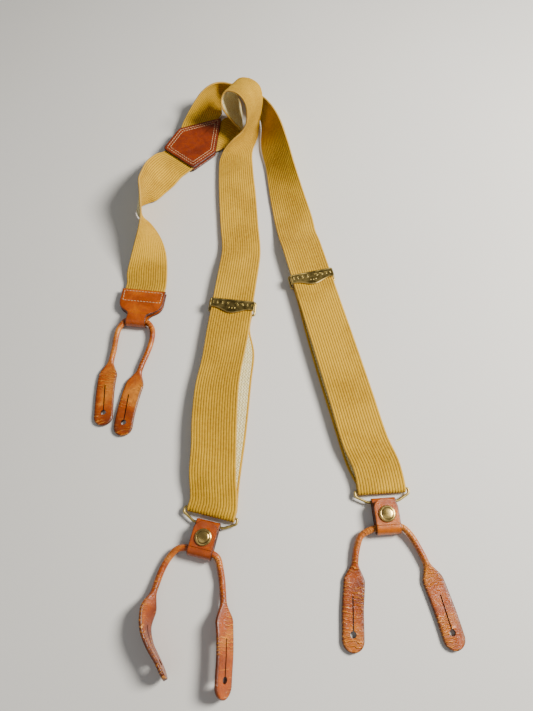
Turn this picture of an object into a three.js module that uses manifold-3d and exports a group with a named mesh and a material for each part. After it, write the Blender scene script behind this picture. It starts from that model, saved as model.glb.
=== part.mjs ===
// Men's suspenders laid out loose on a table: a Y-back strap set in ribbed elastic webbing, a double
// leather patch where the three straps meet, brass sliders, wire bails with snap-closed leather tabs,
// and rolled leather button loops. Millimetres, +Z up, table at z = 0, +Y towards the patch end.
import * as THREE from 'three';
import { mergeVertices } from 'three/addons/utils/BufferGeometryUtils.js';
import Module from 'manifold-3d';

const wasm = await Module();
wasm.setup();

// ---------------------------------------------------------------- driving dimensions
const webWidth = 38;            // elastic webbing
const webThick = 2;
const webStep = 7;              // longest step along a strap
const fit = 0.3;                // gap between two pieces that lie against each other
const tableGap = 0.1;           // lowest face above the table

const patchThick = 2;           // each leather of the back patch
const patchBase = 41;           // width at the rear strap
const patchShoulder = 51;       // width at the shoulders
const patchRound = 3.5;         // corner radius
const patchSide = 33;           // length of the straight sides
const patchLength = 76.5;       // base to apex
const patchGap = 0.4;           // strap to leather inside the patch
const patchAt = { x: -92, y: 188, azimuth: 54.6, roll: 7 };
const patchMidZ = 6.75;         // height of the strap layer on the patch's centre line

const cordRadius = 2.5;         // rolled leather cord
const cordRoom = 0.85;          // cord to the leather around it
const bladeHalfWidth = 8;       // flat button end
const bladeHalfThick = 1.4;
const bladeLength = 60;
const holeRadius = 2.25;        // round end of the buttonhole
const holeFromTip = 11.5;
const slitWidth = 0.9;
const slitLength = 25;
const loopStep = 5;             // longest step along a loop

const wireRadius = 1;           // bail wire
const bailDrop = 9;             // top bar to lower bar
const bailLowerHalf = 11;       // half of the straight lower bar
const bailEdgeRoom = 2;         // bail's side beyond the strap's edge
const bailBend = 1.4;           // corner of its outline to the start of the bend

const frameRadius = 1.1;        // slider's rear frame wire
const frameHalfLength = 6;      // slider centre to each bar
const frameEdgeRoom = 2;        // frame's side beyond the strap's edge
const frameBend = 2;            // corner of its outline to the start of the bend
const plateThick = 1.2;
const plateHalfLength = 4.8;    // plate's ends
const plateBelly = 4.7;         // how far the plate's lower edge swells in the middle
const plateEdgeRoom = 0.5;      // strap's edge to the plate's turned-down ends

const tabThick = 1.6;           // snap tab leather
const tabWidth = 19;
const tabLength = 29;           // fold of the strap to the cord's centre
const tabInnerEnd = 25;         // where the turned-over end stops
const snapAt = 19.5;            // snap's centre, from the fold of the strap
const flapTop = 8;              // tongue's end
const flapRound = 7;            // tongue's corner radius
const capRadius = 6.35;
const capHeight = 2;
const capBarrelRadius = 1.3;
const socketRadius = 4.8;
const socketBore = 2.5;
const socketThick = 1.1;
const studFlange = 0.5;
const studRadius = 4.2;
const studBallRadius = 1.9;
const eyeletRadius = 3.6;
const eyeletThick = 0.5;
const eyeletShankRadius = 1;
const snapClear = 0.3;          // shanks and barrels in their holes

const rearTabThick = 1.8;
const rearTabWidth = 41;
const rearTabStrap = 12;        // how far the strap goes in
const rearTabCord = 34;         // top edge to the cord's centre
const rearTabNeck = 18;         // width of the tunnel

// ---------------------------------------------------------------- heights that follow
const layer = tableGap + webThick / 2;                              // strap lying on the table
const bailZ = layer + webThick / 2 + fit + wireRadius;              // bail's top bar, inside the fold
const foldRadius = wireRadius + fit + webThick / 2;                 // strap's middle around that bar
const lowerBarZ = tableGap + tabThick + fit + wireRadius;           // bail's lower bar, inside the tab
const wrapRadius = wireRadius + fit + tabThick / 2;                 // tab's middle around it
const slideBarZ = layer + webThick / 2 + fit + frameRadius;         // slider's lower bar
const loopRadius = frameRadius + fit + webThick / 2;                // strap end around that bar
const slideZ = slideBarZ + loopRadius + webThick + fit + 0.1;       // front strap's middle at the slider
const upperBarZ = slideZ - webThick / 2 - fit - frameRadius;
const cordFold = cordRadius + cordRoom + tabThick / 2;              // tab's middle around the cord
const cordZ = tableGap + tabThick / 2 + cordFold;
const rearCordFold = cordRadius + cordRoom + rearTabThick / 2;
const rearCordZ = tableGap + rearTabThick / 2 + rearCordFold;
const rearStrapZ = tableGap + rearTabThick + fit + webThick / 2;

// ---------------------------------------------------------------- small helpers
const radians = THREE.MathUtils.degToRad;
const vec = (x, y, z) => new THREE.Vector3(x, y, z);

/** A spot on the table with a heading: x runs along the heading, y across it, to its left. */
class Place {
  constructor(x, y, azimuth) {
    this.x = x;
    this.y = y;
    this.azimuth = azimuth;
    this.cos = Math.cos(radians(azimuth));
    this.sin = Math.sin(radians(azimuth));
  }

  point(along, across, z) {
    return vec(
      this.x + along * this.cos - across * this.sin,
      this.y + along * this.sin + across * this.cos,
      z,
    );
  }
}

/** A point of the strap layer inside the back patch. */
function patchPoint(along, across) {
  const place = new Place(patchAt.x, patchAt.y, patchAt.azimuth);
  return place.point(along, across, patchMidZ + across * Math.tan(radians(patchAt.roll)));
}

/** Closed body through a row of rings with the same number of points. */
function loft(rings, closed = false) {
  const size = rings[0].length;
  const positions = rings.flat().flatMap((p) => [p.x, p.y, p.z]);
  const index = [];
  const last = closed ? rings.length : rings.length - 1;
  for (let i = 0; i < last; i += 1) {
    const next = (i + 1) % rings.length;
    for (let j = 0; j < size; j += 1) {
      const k = (j + 1) % size;
      index.push(i * size + j, i * size + k, next * size + k);
      index.push(i * size + j, next * size + k, next * size + j);
    }
  }
  if (!closed) {
    const end = (rings.length - 1) * size;
    for (let j = 1; j < size - 1; j += 1) {
      index.push(0, j + 1, j);
      index.push(end, end + j, end + j + 1);
    }
  }
  const geometry = new THREE.BufferGeometry();
  geometry.setAttribute('position', new THREE.Float32BufferAttribute(positions, 3));
  geometry.setIndex(signedVolume(positions, index) < 0 ? index.reverse() : index);
  return geometry;
}

function signedVolume(positions, index) {
  const corner = (i) => vec(positions[3 * i], positions[3 * i + 1], positions[3 * i + 2]);
  let sum = 0;
  for (let i = 0; i < index.length; i += 3) {
    sum += corner(index[i]).dot(corner(index[i + 1]).cross(corner(index[i + 2])));
  }
  return sum / 6;
}

/** Flat strap between two edge curves; each station is a pair of edge points. */
function ribbon(stations, width = webWidth, thick = webThick) {
  const edges = [0, 1].map((side) => new THREE.CatmullRomCurve3(stations.map((s) => s[side])));
  const scale = width / webWidth;
  const times = [];
  for (let i = 0; i < stations.length - 1; i += 1) {
    const reach = Math.max(...[0, 1].map((side) => stations[i][side].distanceTo(stations[i + 1][side])));
    const steps = Math.max(1, Math.ceil(reach / webStep));
    for (let j = 0; j < steps; j += 1) times.push((i + j / steps) / (stations.length - 1));
  }
  times.push(1);
  const rings = times.map((t) => {
    const [a, b] = edges.map((edge) => edge.getPoint(t));
    const across = b.clone().sub(a);
    const middle = a.clone().add(b).multiplyScalar(0.5);
    const normals = edges.map((edge) => edge.getTangent(t).cross(across).normalize());
    const ends = [middle.clone().addScaledVector(across, -scale / 2),
      middle.clone().addScaledVector(across, scale / 2)];
    return [
      ends[0].clone().addScaledVector(normals[0], thick / 2),
      ends[1].clone().addScaledVector(normals[1], thick / 2),
      ends[1].clone().addScaledVector(normals[1], -thick / 2),
      ends[0].clone().addScaledVector(normals[0], -thick / 2),
    ];
  });
  return loft(rings);
}

/** Round wire along a closed outline with rounded corners, lying near the XY plane. */
function wireLoop(corners, radius, bend, sides = 8) {
  const path = [];
  const arcSteps = 4;
  corners.forEach((corner, i) => {
    const before = corners[(i + corners.length - 1) % corners.length];
    const after = corners[(i + 1) % corners.length];
    const start = corner.clone().add(before.clone().sub(corner).setLength(bend));
    const stop = corner.clone().add(after.clone().sub(corner).setLength(bend));
    const turn = new THREE.QuadraticBezierCurve3(start, corner, stop);
    path.push(...turn.getPoints(arcSteps));
  });
  const up = vec(0, 0, 1);
  const rings = path.map((point, i) => {
    const before = path[(i + path.length - 1) % path.length];
    const after = path[(i + 1) % path.length];
    const tangent = after.clone().sub(before).normalize();
    const side = tangent.clone().cross(up).normalize();
    const lift = side.clone().cross(tangent);
    return Array.from({ length: sides }, (_, j) => {
      const angle = (2 * Math.PI * j) / sides;
      return point.clone()
        .addScaledVector(side, radius * Math.cos(angle))
        .addScaledVector(lift, radius * Math.sin(angle));
    });
  });
  return loft(rings, true);
}

/** Strip of leather of one thickness along a bent centre line in the (along, height) plane. */
function foldedStrip(centre, thick, width) {
  const sides = [1, -1].map((sign) => centre.map((p, i) => {
    const before = centre[Math.max(i - 1, 0)];
    const after = centre[Math.min(i + 1, centre.length - 1)];
    const tangent = after.clone().sub(before).normalize();
    return new THREE.Vector2(p.x - (sign * tangent.y * thick) / 2, p.y + (sign * tangent.x * thick) / 2);
  }));
  const shape = new THREE.Shape([...sides[0], ...sides[1].reverse()]);
  const geometry = new THREE.ExtrudeGeometry(shape, { depth: width, bevelEnabled: false });
  geometry.rotateX(Math.PI / 2);
  geometry.translate(0, width / 2, 0);
  return geometry;
}

function arc(x, y, radius, from, to, steps = 10) {
  return Array.from({ length: steps + 1 }, (_, i) => {
    const angle = radians(from + ((to - from) * i) / steps);
    return new THREE.Vector2(x + radius * Math.cos(angle), y + radius * Math.sin(angle));
  });
}

function toSolid(geometry) {
  const bare = geometry.clone();
  bare.deleteAttribute('normal');
  bare.deleteAttribute('uv');
  const merged = mergeVertices(bare, 1e-4);
  return new wasm.Manifold(new wasm.Mesh({
    numProp: 3,
    vertProperties: new Float32Array(merged.attributes.position.array),
    triVerts: new Uint32Array(merged.index.array),
  }));
}

function fromSolid(solid) {
  const mesh = solid.getMesh();
  const geometry = new THREE.BufferGeometry();
  geometry.setAttribute('position', new THREE.Float32BufferAttribute(mesh.vertProperties, 3));
  geometry.setIndex(Array.from(mesh.triVerts));
  return geometry;
}

const subtract = (geometry, ...cutters) => fromSolid(
  cutters.reduce((solid, cutter) => solid.subtract(toSolid(cutter)), toSolid(geometry)),
);
const intersect = (geometry, other) => fromSolid(toSolid(geometry).intersect(toSolid(other)));

/** Turned piece about the vertical axis from a closed half profile of [radius, height] points. */
function turned(profile, sides = 16) {
  const points = profile.map(([radius, height]) => new THREE.Vector2(radius, height));
  const geometry = new THREE.LatheGeometry(points, sides);
  geometry.rotateX(Math.PI / 2);
  return geometry;
}

function upright(radius, low, high, sides = 16) {
  const cylinder = new THREE.CylinderGeometry(radius, radius, high - low, sides);
  cylinder.rotateX(Math.PI / 2);
  cylinder.translate(0, 0, (low + high) / 2);
  return cylinder;
}

// ---------------------------------------------------------------- materials and assembly
const finishes = {
  webbing: { color: 0xb8935a, roughness: 0.9, metalness: 0 },
  leather: { color: 0x8c4a1c, roughness: 0.5, metalness: 0 },
  antique_brass: { color: 0x6f5a35, roughness: 0.4, metalness: 1 },
  bright_brass: { color: 0xb59b55, roughness: 0.3, metalness: 1 },
};

const suspenders = new THREE.Group();

function add(name, geometry, finish, parent = suspenders) {
  const mesh = new THREE.Mesh(geometry, new THREE.MeshStandardMaterial(finishes[finish]));
  mesh.name = name;
  parent.add(mesh);
  return mesh;
}

/** Group standing at a place, with x along its heading and y across it. */
function groupAt(place) {
  const group = new THREE.Group();
  group.position.set(place.x, place.y, 0);
  group.rotation.z = radians(place.azimuth);
  suspenders.add(group);
  return group;
}

// ---------------------------------------------------------------- where things lie
const halfWeb = webWidth / 2;
const rearTabPlace = new Place(-111.5, 22.3, -96.2);
const sides = {
  left: { slider: new Place(-28.4, 4, -96.9), fold: new Place(-39.5, -181, -103.5) },
  right: { slider: new Place(45.8, 35.4, -76.9), fold: new Place(93.2, -163.5, -86) },
};

/** A strap station square to a place's heading. */
const stationAt = (place, along, z, across = 0) => [
  place.point(along, across - halfWeb, z),
  place.point(along, across + halfWeb, z),
];

const pair = (x1, y1, z1, x2, y2, z2) => [vec(x1, y1, z1), vec(x2, y2, z2)];

/** Strap stations around the bail's top bar, ending on the table behind it. */
function bailFold(place) {
  const turns = [0, 45, 90, 135, 180].map((angle) => stationAt(
    place,
    foldRadius * Math.sin(radians(angle)),
    bailZ + foldRadius * Math.cos(radians(angle)),
  ));
  return [stationAt(place, -6, bailZ + foldRadius), ...turns, stationAt(place, -foldTail, layer)];
}

const foldTail = 6;             // how far the front strap runs back under the fold
const endLap = 14;              // sewn-down end of the strap behind the slider
const slideSpan = 28;           // straight stretch each way from the slider

const frontStations = {
  left: [
    [patchPoint(28, -19), patchPoint(67, -1.5)],
    [patchPoint(33, -21.6), patchPoint(73, -1.5)],
    [patchPoint(38, -24.4), patchPoint(80, -1.5)],
    pair(-40, 212, 2.6, -37, 258.5, 4.6),
    pair(-28.5, 221, 2.2, -29, 265, 2.6),
    pair(-23.5, 224.5, 6.5, -26, 266, 4.6),
    pair(-25.6, 226.5, 12, -26.1, 265, 8.5),
    pair(-34.6, 229.1, 22.3, -26.3, 265.3, 15),
    pair(-43.9, 230.2, 37.4, -28.5, 264, 26),
    pair(-44.9, 234.2, 45.1, -32.5, 268.5, 36),
    pair(-39.7, 236.6, 53, -25.7, 270.5, 43),
    pair(-31.8, 235.2, 53.5, -13.7, 267.5, 44.5),
    pair(-23.7, 230.4, 51.1, -4.2, 260, 41.5),
    pair(-18.6, 225.1, 44.6, -1.5, 252.1, 33),
    pair(-17.8, 221.5, 35.3, -2.5, 248.5, 23),
    pair(-19.1, 218.8, 26.5, -4.5, 246.5, 12),
    pair(-24, 215, 20, -5.5, 241, 3.4),
    pair(-33.1, 208.9, 15.5, -6.3, 231.5, 1.8),
    pair(-42.5, 202, 9, -8.5, 221, 1.5),
    pair(-47.5, 191, 4.4, -12.2, 206, 1.5),
    pair(-47.8, 169.6, 3.7, -11.4, 179.5, 1.5),
    pair(-46.3, 140, 3.8, -8.2, 145.2, 1.5),
    pair(-43.3, 100.4, 3.5, -5.2, 102.6, 1.8),
    pair(-40.6, 72, 4.6, -2.8, 68, 3.8),
    stationAt(sides.left.slider, -42, slideZ - 0.6),
    stationAt(sides.left.slider, -slideSpan, slideZ),
    stationAt(sides.left.slider, 0, slideZ),
    stationAt(sides.left.slider, slideSpan, slideZ),
    pair(-53.4, -50, 8.7, -16, -46, 8.7),
    pair(-57.8, -78, 9, -20, -73, 9),
    pair(-58.7, -108, 10, -21.2, -105, 8),
    pair(-57.8, -129, 10, -21.2, -133, 7.5),
    pair(-58.2, -150, 8.5, -20.8, -155, 7.5),
    ...bailFold(sides.left.fold),
  ],
  right: [
    [patchPoint(69.5, 3), patchPoint(26, 20)],
    [patchPoint(76, 3.8), patchPoint(33, 23.6)],
    [patchPoint(83, 4.8), patchPoint(41, 27.8)],
    pair(-47.8, 272, 4, -81.9, 260, 15),
    pair(-44.3, 286.5, 1.8, -69.8, 272, 25.5),
    pair(-41, 295.1, 1.5, -58.2, 278, 30.6),
    pair(-36.5, 301.2, 1.5, -48.4, 280.7, 31),
    pair(-29.5, 302.9, 1.5, -35.6, 278.8, 30),
    pair(-19.9, 297.7, 1.5, -18.6, 272.3, 29.5),
    pair(-12.8, 288.2, 1.5, -1.5, 262.6, 27),
    pair(-7.4, 271.2, 1.5, 8.2, 248.7, 27.6),
    pair(-2.7, 246.6, 1.5, 17.5, 227.2, 27),
    pair(-2.9, 212, 1.5, 25.7, 198.8, 23),
    pair(2.5, 180.5, 1.5, 32.5, 168.4, 19.5),
    pair(6.1, 145, 1.5, 41.3, 137.4, 12),
    pair(11.1, 107.5, 2.2, 49.2, 110, 6),
    stationAt(sides.right.slider, -54, slideZ - 3),
    stationAt(sides.right.slider, -42, slideZ - 0.6),
    stationAt(sides.right.slider, -slideSpan, slideZ),
    stationAt(sides.right.slider, 0, slideZ),
    stationAt(sides.right.slider, slideSpan, slideZ),
    stationAt(sides.right.slider, 75, 9),
    stationAt(sides.right.slider, 125, 8.6),
    stationAt(sides.right.slider, 165, 7.6),
    pair(71.5, -147.5, 6.6, 109, -141, 6.6),
    ...bailFold(sides.right.fold),
  ],
};

/** Strap stations of the end that runs back up behind, around the slider's lower bar. */
function sliderLoop(place) {
  const turns = [0, 45, 90, 135, 180].map((angle) => stationAt(
    place,
    frameHalfLength - loopRadius * Math.sin(radians(angle)),
    slideBarZ - loopRadius * Math.cos(radians(angle)),
  ));
  return [
    stationAt(place, frameHalfLength + endLap, layer),
    ...turns,
    stationAt(place, frameHalfLength + endLap, slideBarZ + loopRadius - 0.3),
  ];
}

const returnStations = {
  left: [
    stationAt(sides.left.fold, -foldTail - fit, layer),
    pair(-56.4, -155, layer, -18.4, -160, layer),
    pair(-51.6, -115, layer, -13.7, -116.8, layer),
    pair(-47.9, -69, layer, -10, -70, layer),
    pair(-45.6, -40, layer, -7.8, -42, layer),
    ...sliderLoop(sides.left.slider),
  ],
  right: [
    stationAt(sides.right.fold, -foldTail - fit, layer),
    stationAt(sides.right.slider, 180, layer, -0.5),
    stationAt(sides.right.slider, 140, layer, -1.3),
    stationAt(sides.right.slider, 90, layer, -1.8),
    stationAt(sides.right.slider, 45, layer, -1),
    ...sliderLoop(sides.right.slider),
  ],
};

const rearStations = [
  [patchPoint(20, 19), patchPoint(20, -19)],
  [patchPoint(10, 19), patchPoint(10, -19)],
  [patchPoint(-2, 19), patchPoint(-2, -19)],
  pair(-114, 191.5, 12.5, -87, 168, 2),
  pair(-118, 178, 20, -95, 155.5, 1.5),
  pair(-119.7, 160, 30, -103.5, 145, 1.5),
  pair(-120.4, 144.2, 36, -111, 136.1, 1.5),
  pair(-121.5, 130.3, 38.5, -118.5, 133, 1.5),
  pair(-119.3, 117, 38, -127, 127.5, 1.5),
  pair(-118.1, 106.5, 35.3, -129.8, 121.5, 1.5),
  pair(-117.2, 97, 32.5, -126.5, 113.5, 1.5),
  pair(-117.2, 88, 30, -117.5, 107.5, 1.5),
  pair(-119, 79, 26, -107, 94, 1.5),
  pair(-122.5, 69, 20, -100.5, 82, 1.5),
  pair(-126.8, 56, 12, -95.5, 67, 1.5),
  pair(-130.3, 42, 5, -92.8, 49, 2),
  stationAt(rearTabPlace, -8, rearStrapZ),
  stationAt(rearTabPlace, 0, rearStrapZ),
  stationAt(rearTabPlace, rearTabStrap, rearStrapZ),
];

// ---------------------------------------------------------------- webbing
function makeStraps() {
  add('rear_strap', ribbon(rearStations), 'webbing');
  for (const side of ['left', 'right']) {
    add(`front_strap_${side}`, ribbon(frontStations[side]), 'webbing');
    add(`strap_return_${side}`, ribbon(returnStations[side]), 'webbing');
  }
}

// ---------------------------------------------------------------- back patch
function roundedOutline(corners, radius) {
  const shape = new THREE.Shape();
  corners.forEach((corner, i) => {
    const before = corners[(i + corners.length - 1) % corners.length];
    const after = corners[(i + 1) % corners.length];
    const start = corner.clone().add(before.clone().sub(corner).setLength(radius));
    const stop = corner.clone().add(after.clone().sub(corner).setLength(radius));
    if (i === 0) shape.moveTo(start.x, start.y);
    else shape.lineTo(start.x, start.y);
    shape.quadraticCurveTo(corner.x, corner.y, stop.x, stop.y);
  });
  shape.closePath();
  return shape;
}

function makePatch() {
  const outline = roundedOutline([
    new THREE.Vector2(0, -patchBase / 2),
    new THREE.Vector2(patchSide, -patchShoulder / 2),
    new THREE.Vector2(patchLength, 0),
    new THREE.Vector2(patchSide, patchShoulder / 2),
    new THREE.Vector2(0, patchBase / 2),
  ], patchRound);
  const stand = new THREE.Group();
  stand.position.set(patchAt.x, patchAt.y, patchMidZ);
  stand.rotation.set(radians(patchAt.roll), 0, radians(patchAt.azimuth), 'ZXY');
  suspenders.add(stand);
  const leather = () => new THREE.ExtrudeGeometry(outline, {
    depth: patchThick, bevelEnabled: false, curveSegments: 5,
  });
  const reach = webThick / 2 + patchGap;
  add('back_patch_front', leather(), 'leather', stand).position.z = reach;
  add('back_patch_rear', leather(), 'leather', stand).position.z = -reach - patchThick;
}

// ---------------------------------------------------------------- rear tab
function makeRearTab() {
  const low = tableGap + rearTabThick / 2;
  const high = rearStrapZ + webThick / 2 + fit + rearTabThick / 2;
  const centre = [
    new THREE.Vector2(0, high),
    new THREE.Vector2(rearTabCord - 14, high),
    new THREE.Vector2(rearTabCord - 9, high + 0.7),
    new THREE.Vector2(rearTabCord - 5, rearCordZ + rearCordFold - 0.5),
    ...arc(rearTabCord, rearCordZ, rearCordFold, 100, -90, 12),
    new THREE.Vector2(0, low),
  ];
  const strip = foldedStrip(centre, rearTabThick, rearTabWidth);
  const half = rearTabWidth / 2;
  const neck = rearTabNeck / 2;
  const plan = [
    [-1, -half], [15, -half + 0.3], [20.5, -half + 2.5], [26, -neck - 2], [29.5, -neck],
    [rearTabCord + 6, -neck - 0.4], [rearTabCord + 6, neck + 0.4], [29.5, neck],
    [26, neck + 2], [20.5, half - 2.5], [15, half - 0.3], [-1, half],
  ].map(([x, y]) => new THREE.Vector2(x, y));
  const outline = new THREE.ExtrudeGeometry(new THREE.Shape(plan), { depth: 20, bevelEnabled: false });
  outline.translate(0, 0, -5);
  add('rear_tab', intersect(strip, outline), 'leather', groupAt(rearTabPlace));
}

// ---------------------------------------------------------------- sliders
function makeSlider(side) {
  const group = groupAt(sides[side].slider);
  const edge = halfWeb + frameEdgeRoom;
  const frame = wireLoop([
    vec(-frameHalfLength, -edge, upperBarZ),
    vec(frameHalfLength, -edge, slideBarZ),
    vec(frameHalfLength, edge, slideBarZ),
    vec(-frameHalfLength, edge, upperBarZ),
  ], frameRadius, frameBend);
  add(`slider_frame_${side}`, frame, 'antique_brass', group);
  add(`slider_plate_${side}`, sliderPlate(), 'antique_brass', group);
}

/** Front plate: straight upper edge, swelling lower edge, both ends turned down past the strap. */
function sliderPlate() {
  const end = halfWeb + plateEdgeRoom + plateThick;
  const lugRound = 1.6;
  const steps = 16;
  const lower = Array.from({ length: steps + 1 }, (_, i) => {
    const across = end - lugRound - ((2 * (end - lugRound)) * i) / steps;
    const swell = Math.max(0, Math.cos((across / end) * Math.PI * 0.62));
    return new THREE.Vector2(plateHalfLength + plateBelly * swell * swell, across);
  });
  const outline = new THREE.Shape([
    new THREE.Vector2(-plateHalfLength + lugRound, -end),
    new THREE.Vector2(-plateHalfLength, -end + lugRound),
    new THREE.Vector2(-plateHalfLength, end - lugRound),
    new THREE.Vector2(-plateHalfLength + lugRound, end),
    new THREE.Vector2(plateHalfLength - lugRound, end),
    ...lower,
    new THREE.Vector2(plateHalfLength - lugRound, -end),
  ].reverse());
  const under = slideZ + webThick / 2 + fit;
  const lugBottom = upperBarZ + frameRadius + fit;
  const block = new THREE.ExtrudeGeometry(outline, {
    depth: under + plateThick - lugBottom, bevelEnabled: false,
  });
  block.translate(0, 0, lugBottom);
  const room = new THREE.BoxGeometry(40, 2 * (halfWeb + plateEdgeRoom), 2 * (under - lugBottom));
  room.translate(0, 0, lugBottom);
  return subtract(block, room);
}

// ---------------------------------------------------------------- bails and snap tabs
function makeBail(side) {
  const edge = halfWeb + bailEdgeRoom;
  const bail = wireLoop([
    vec(0, -edge, bailZ),
    vec(4, -edge, bailZ),
    vec(bailDrop, -bailLowerHalf - 1, lowerBarZ),
    vec(bailDrop, bailLowerHalf + 1, lowerBarZ),
    vec(4, edge, bailZ),
    vec(0, edge, bailZ),
  ], wireRadius, bailBend);
  add(`wire_bail_${side}`, bail, 'antique_brass', groupAt(sides[side].fold));
}

const tabBackZ = tableGap + tabThick / 2;
const tabInnerZ = lowerBarZ + wrapRadius;
const flapZ = cordZ + cordFold;
const flapHingeAt = tabLength - 1.5;

function makeTab(side) {
  const group = groupAt(sides[side].fold);
  const centre = [
    new THREE.Vector2(tabInnerEnd, tabInnerZ),
    ...arc(bailDrop, lowerBarZ, wrapRadius, 90, 270, 12),
    ...arc(tabLength, cordZ, cordFold, -90, 90, 14),
    new THREE.Vector2(flapHingeAt + fit, flapZ),
  ];
  const strip = foldedStrip(centre, tabThick, tabWidth);
  const pierce = upright(eyeletShankRadius + snapClear, tabInnerZ - tabThick, tabInnerZ + tabThick);
  pierce.translate(snapAt, 0, 0);
  add(`snap_tab_${side}`, subtract(strip, pierce), 'leather', group);

  const half = tabWidth / 2;
  const tongue = new THREE.Shape();
  tongue.moveTo(flapHingeAt, -half);
  tongue.lineTo(flapHingeAt, half);
  tongue.lineTo(flapTop + flapRound, half);
  tongue.quadraticCurveTo(flapTop, half, flapTop, half - flapRound);
  tongue.lineTo(flapTop, -half + flapRound);
  tongue.quadraticCurveTo(flapTop, -half, flapTop + flapRound, -half);
  tongue.closePath();
  const hole = new THREE.Path();
  hole.absarc(snapAt, 0, capBarrelRadius + snapClear, 0, 2 * Math.PI, true);
  tongue.holes.push(hole);
  const flap = new THREE.ExtrudeGeometry(tongue, { depth: tabThick, bevelEnabled: false, curveSegments: 8 });
  add(`tab_flap_${side}`, flap, 'leather', group).position.z = flapZ - tabThick / 2;
  makeSnap(side, group);
}

/** Snap fastener: cap and socket on the flap, stud and eyelet on the turned-over end. */
function makeSnap(side, group) {
  const flapLow = flapZ - tabThick / 2;
  const flapHigh = flapZ + tabThick / 2;
  const innerLow = tabInnerZ - tabThick / 2;
  const innerHigh = tabInnerZ + tabThick / 2;
  const rim = capHeight * 0.35;
  const seat = flapHigh + 0.2;
  const cap = turned([
    [0, flapLow - 0.05],
    [capBarrelRadius, flapLow - 0.05],
    [capBarrelRadius, seat],
    [capRadius - 0.3, seat],
    [capRadius, seat + rim * 0.6],
    [capRadius - 0.25, seat + rim * 1.3],
    [capRadius * 0.78, seat + capHeight * 0.72],
    [capRadius * 0.7, seat + capHeight * 0.66],
    [capRadius * 0.62, seat + capHeight * 0.8],
    [capRadius * 0.4, seat + capHeight * 0.95],
    [0, seat + capHeight],
  ], 20);
  const socketHigh = flapLow - fit;
  const socket = turned([
    [socketBore, socketHigh - socketThick],
    [socketRadius, socketHigh - socketThick],
    [socketRadius, socketHigh - 0.4],
    [socketRadius - 0.4, socketHigh],
    [socketBore, socketHigh],
    [socketBore, socketHigh - socketThick],
  ]);
  const studLow = innerHigh + fit;
  const studTop = flapLow - 0.45;
  const bore = eyeletShankRadius + snapClear;
  const stud = turned([
    [bore, studLow],
    [studRadius, studLow],
    [studRadius, studLow + studFlange],
    [studBallRadius - 0.2, studLow + studFlange],
    [studBallRadius, studTop - 0.6],
    [studBallRadius - 0.4, studTop],
    [0, studTop],
    [0, studTop - 0.4],
    [bore, studTop - 0.4],
    [bore, studLow],
  ]);
  const eyelet = turned([
    [0, innerLow - fit - eyeletThick],
    [eyeletRadius, innerLow - fit - eyeletThick],
    [eyeletRadius, innerLow - fit],
    [eyeletShankRadius, innerLow - fit],
    [eyeletShankRadius, studTop - 0.7],
    [0, studTop - 0.7],
  ]);
  const pieces = { snap_cap: cap, snap_socket: socket, snap_stud: stud, snap_eyelet: eyelet };
  for (const [name, geometry] of Object.entries(pieces)) {
    const finish = name === 'snap_cap' ? 'bright_brass' : 'antique_brass';
    add(`${name}_${side}`, geometry, finish, group).position.x = snapAt;
  }
}

// ---------------------------------------------------------------- button loops
/**
 * Leather loop rolled to a cord in the middle and left flat at both ends. Route points are
 * [x, y, z, roll]; roll turns the flat end about its own length, in degrees.
 */
function buttonLoop(route) {
  const curve = new THREE.CatmullRomCurve3(route.map(([x, y, z]) => vec(x, y, z)));
  const length = curve.getLength();
  const count = Math.round(length / loopStep);
  const spots = [];
  for (let i = 0; i <= count; i += 1) spots.push(i / count);
  const tipSteps = [0.15, 0.5, 1.1, 2, 3.1];
  for (const step of tipSteps) spots.push(step / length, 1 - step / length);
  spots.sort((a, b) => a - b);
  const rings = spots.map((u) => loopRing(curve, route, u, length));
  const body = loft(rings);
  const cuts = [0, 1].map((end) => buttonhole(curve, route, length, end));
  return subtract(body, ...cuts);
}

function rollAt(curve, route, u) {
  const t = curve.getUtoTmapping(u) * (route.length - 1);
  const i = Math.min(Math.floor(t), route.length - 2);
  return THREE.MathUtils.lerp(route[i][3], route[i + 1][3], t - i);
}

function loopFrame(curve, route, u) {
  const point = curve.getPointAt(u);
  const tangent = curve.getTangentAt(u);
  const side = vec(0, 0, 1).cross(tangent).normalize();
  side.applyAxisAngle(tangent, radians(rollAt(curve, route, u)));
  return { point, tangent, side, normal: tangent.clone().cross(side) };
}

/** Half width and half thickness of the loop at a distance from the nearer tip. */
function loopSize(distance) {
  const smooth = (from, to) => THREE.MathUtils.smoothstep(distance, from, to);
  const shoulder = smooth(bladeLength - 14, bladeLength);
  const flat = THREE.MathUtils.lerp(bladeHalfWidth, cordRadius, shoulder);
  const tip = Math.min(distance / bladeHalfWidth, 1);
  const round = Math.sqrt(Math.max(0.02, 1 - (1 - tip) ** 2));
  return {
    wide: Math.max(flat * round, 1.1),
    thick: THREE.MathUtils.lerp(bladeHalfThick, cordRadius, smooth(bladeLength - 8, bladeLength + 2)),
  };
}

function loopRing(curve, route, u, length) {
  const { point, side, normal } = loopFrame(curve, route, u);
  const { wide, thick } = loopSize(Math.min(u, 1 - u) * length);
  const corner = Math.min(thick, wide);
  const flat = wide - corner;
  const ring = [];
  const halfTurns = 3;
  for (const sign of [1, -1]) {
    for (let i = 0; i <= halfTurns; i += 1) {
      const angle = -Math.PI / 2 + (Math.PI * i) / halfTurns;
      const across = sign * (flat + corner * Math.cos(angle));
      const up = sign * thick * Math.sin(angle);
      ring.push(point.clone().addScaledVector(side, across).addScaledVector(normal, up));
    }
  }
  return ring;
}

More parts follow.
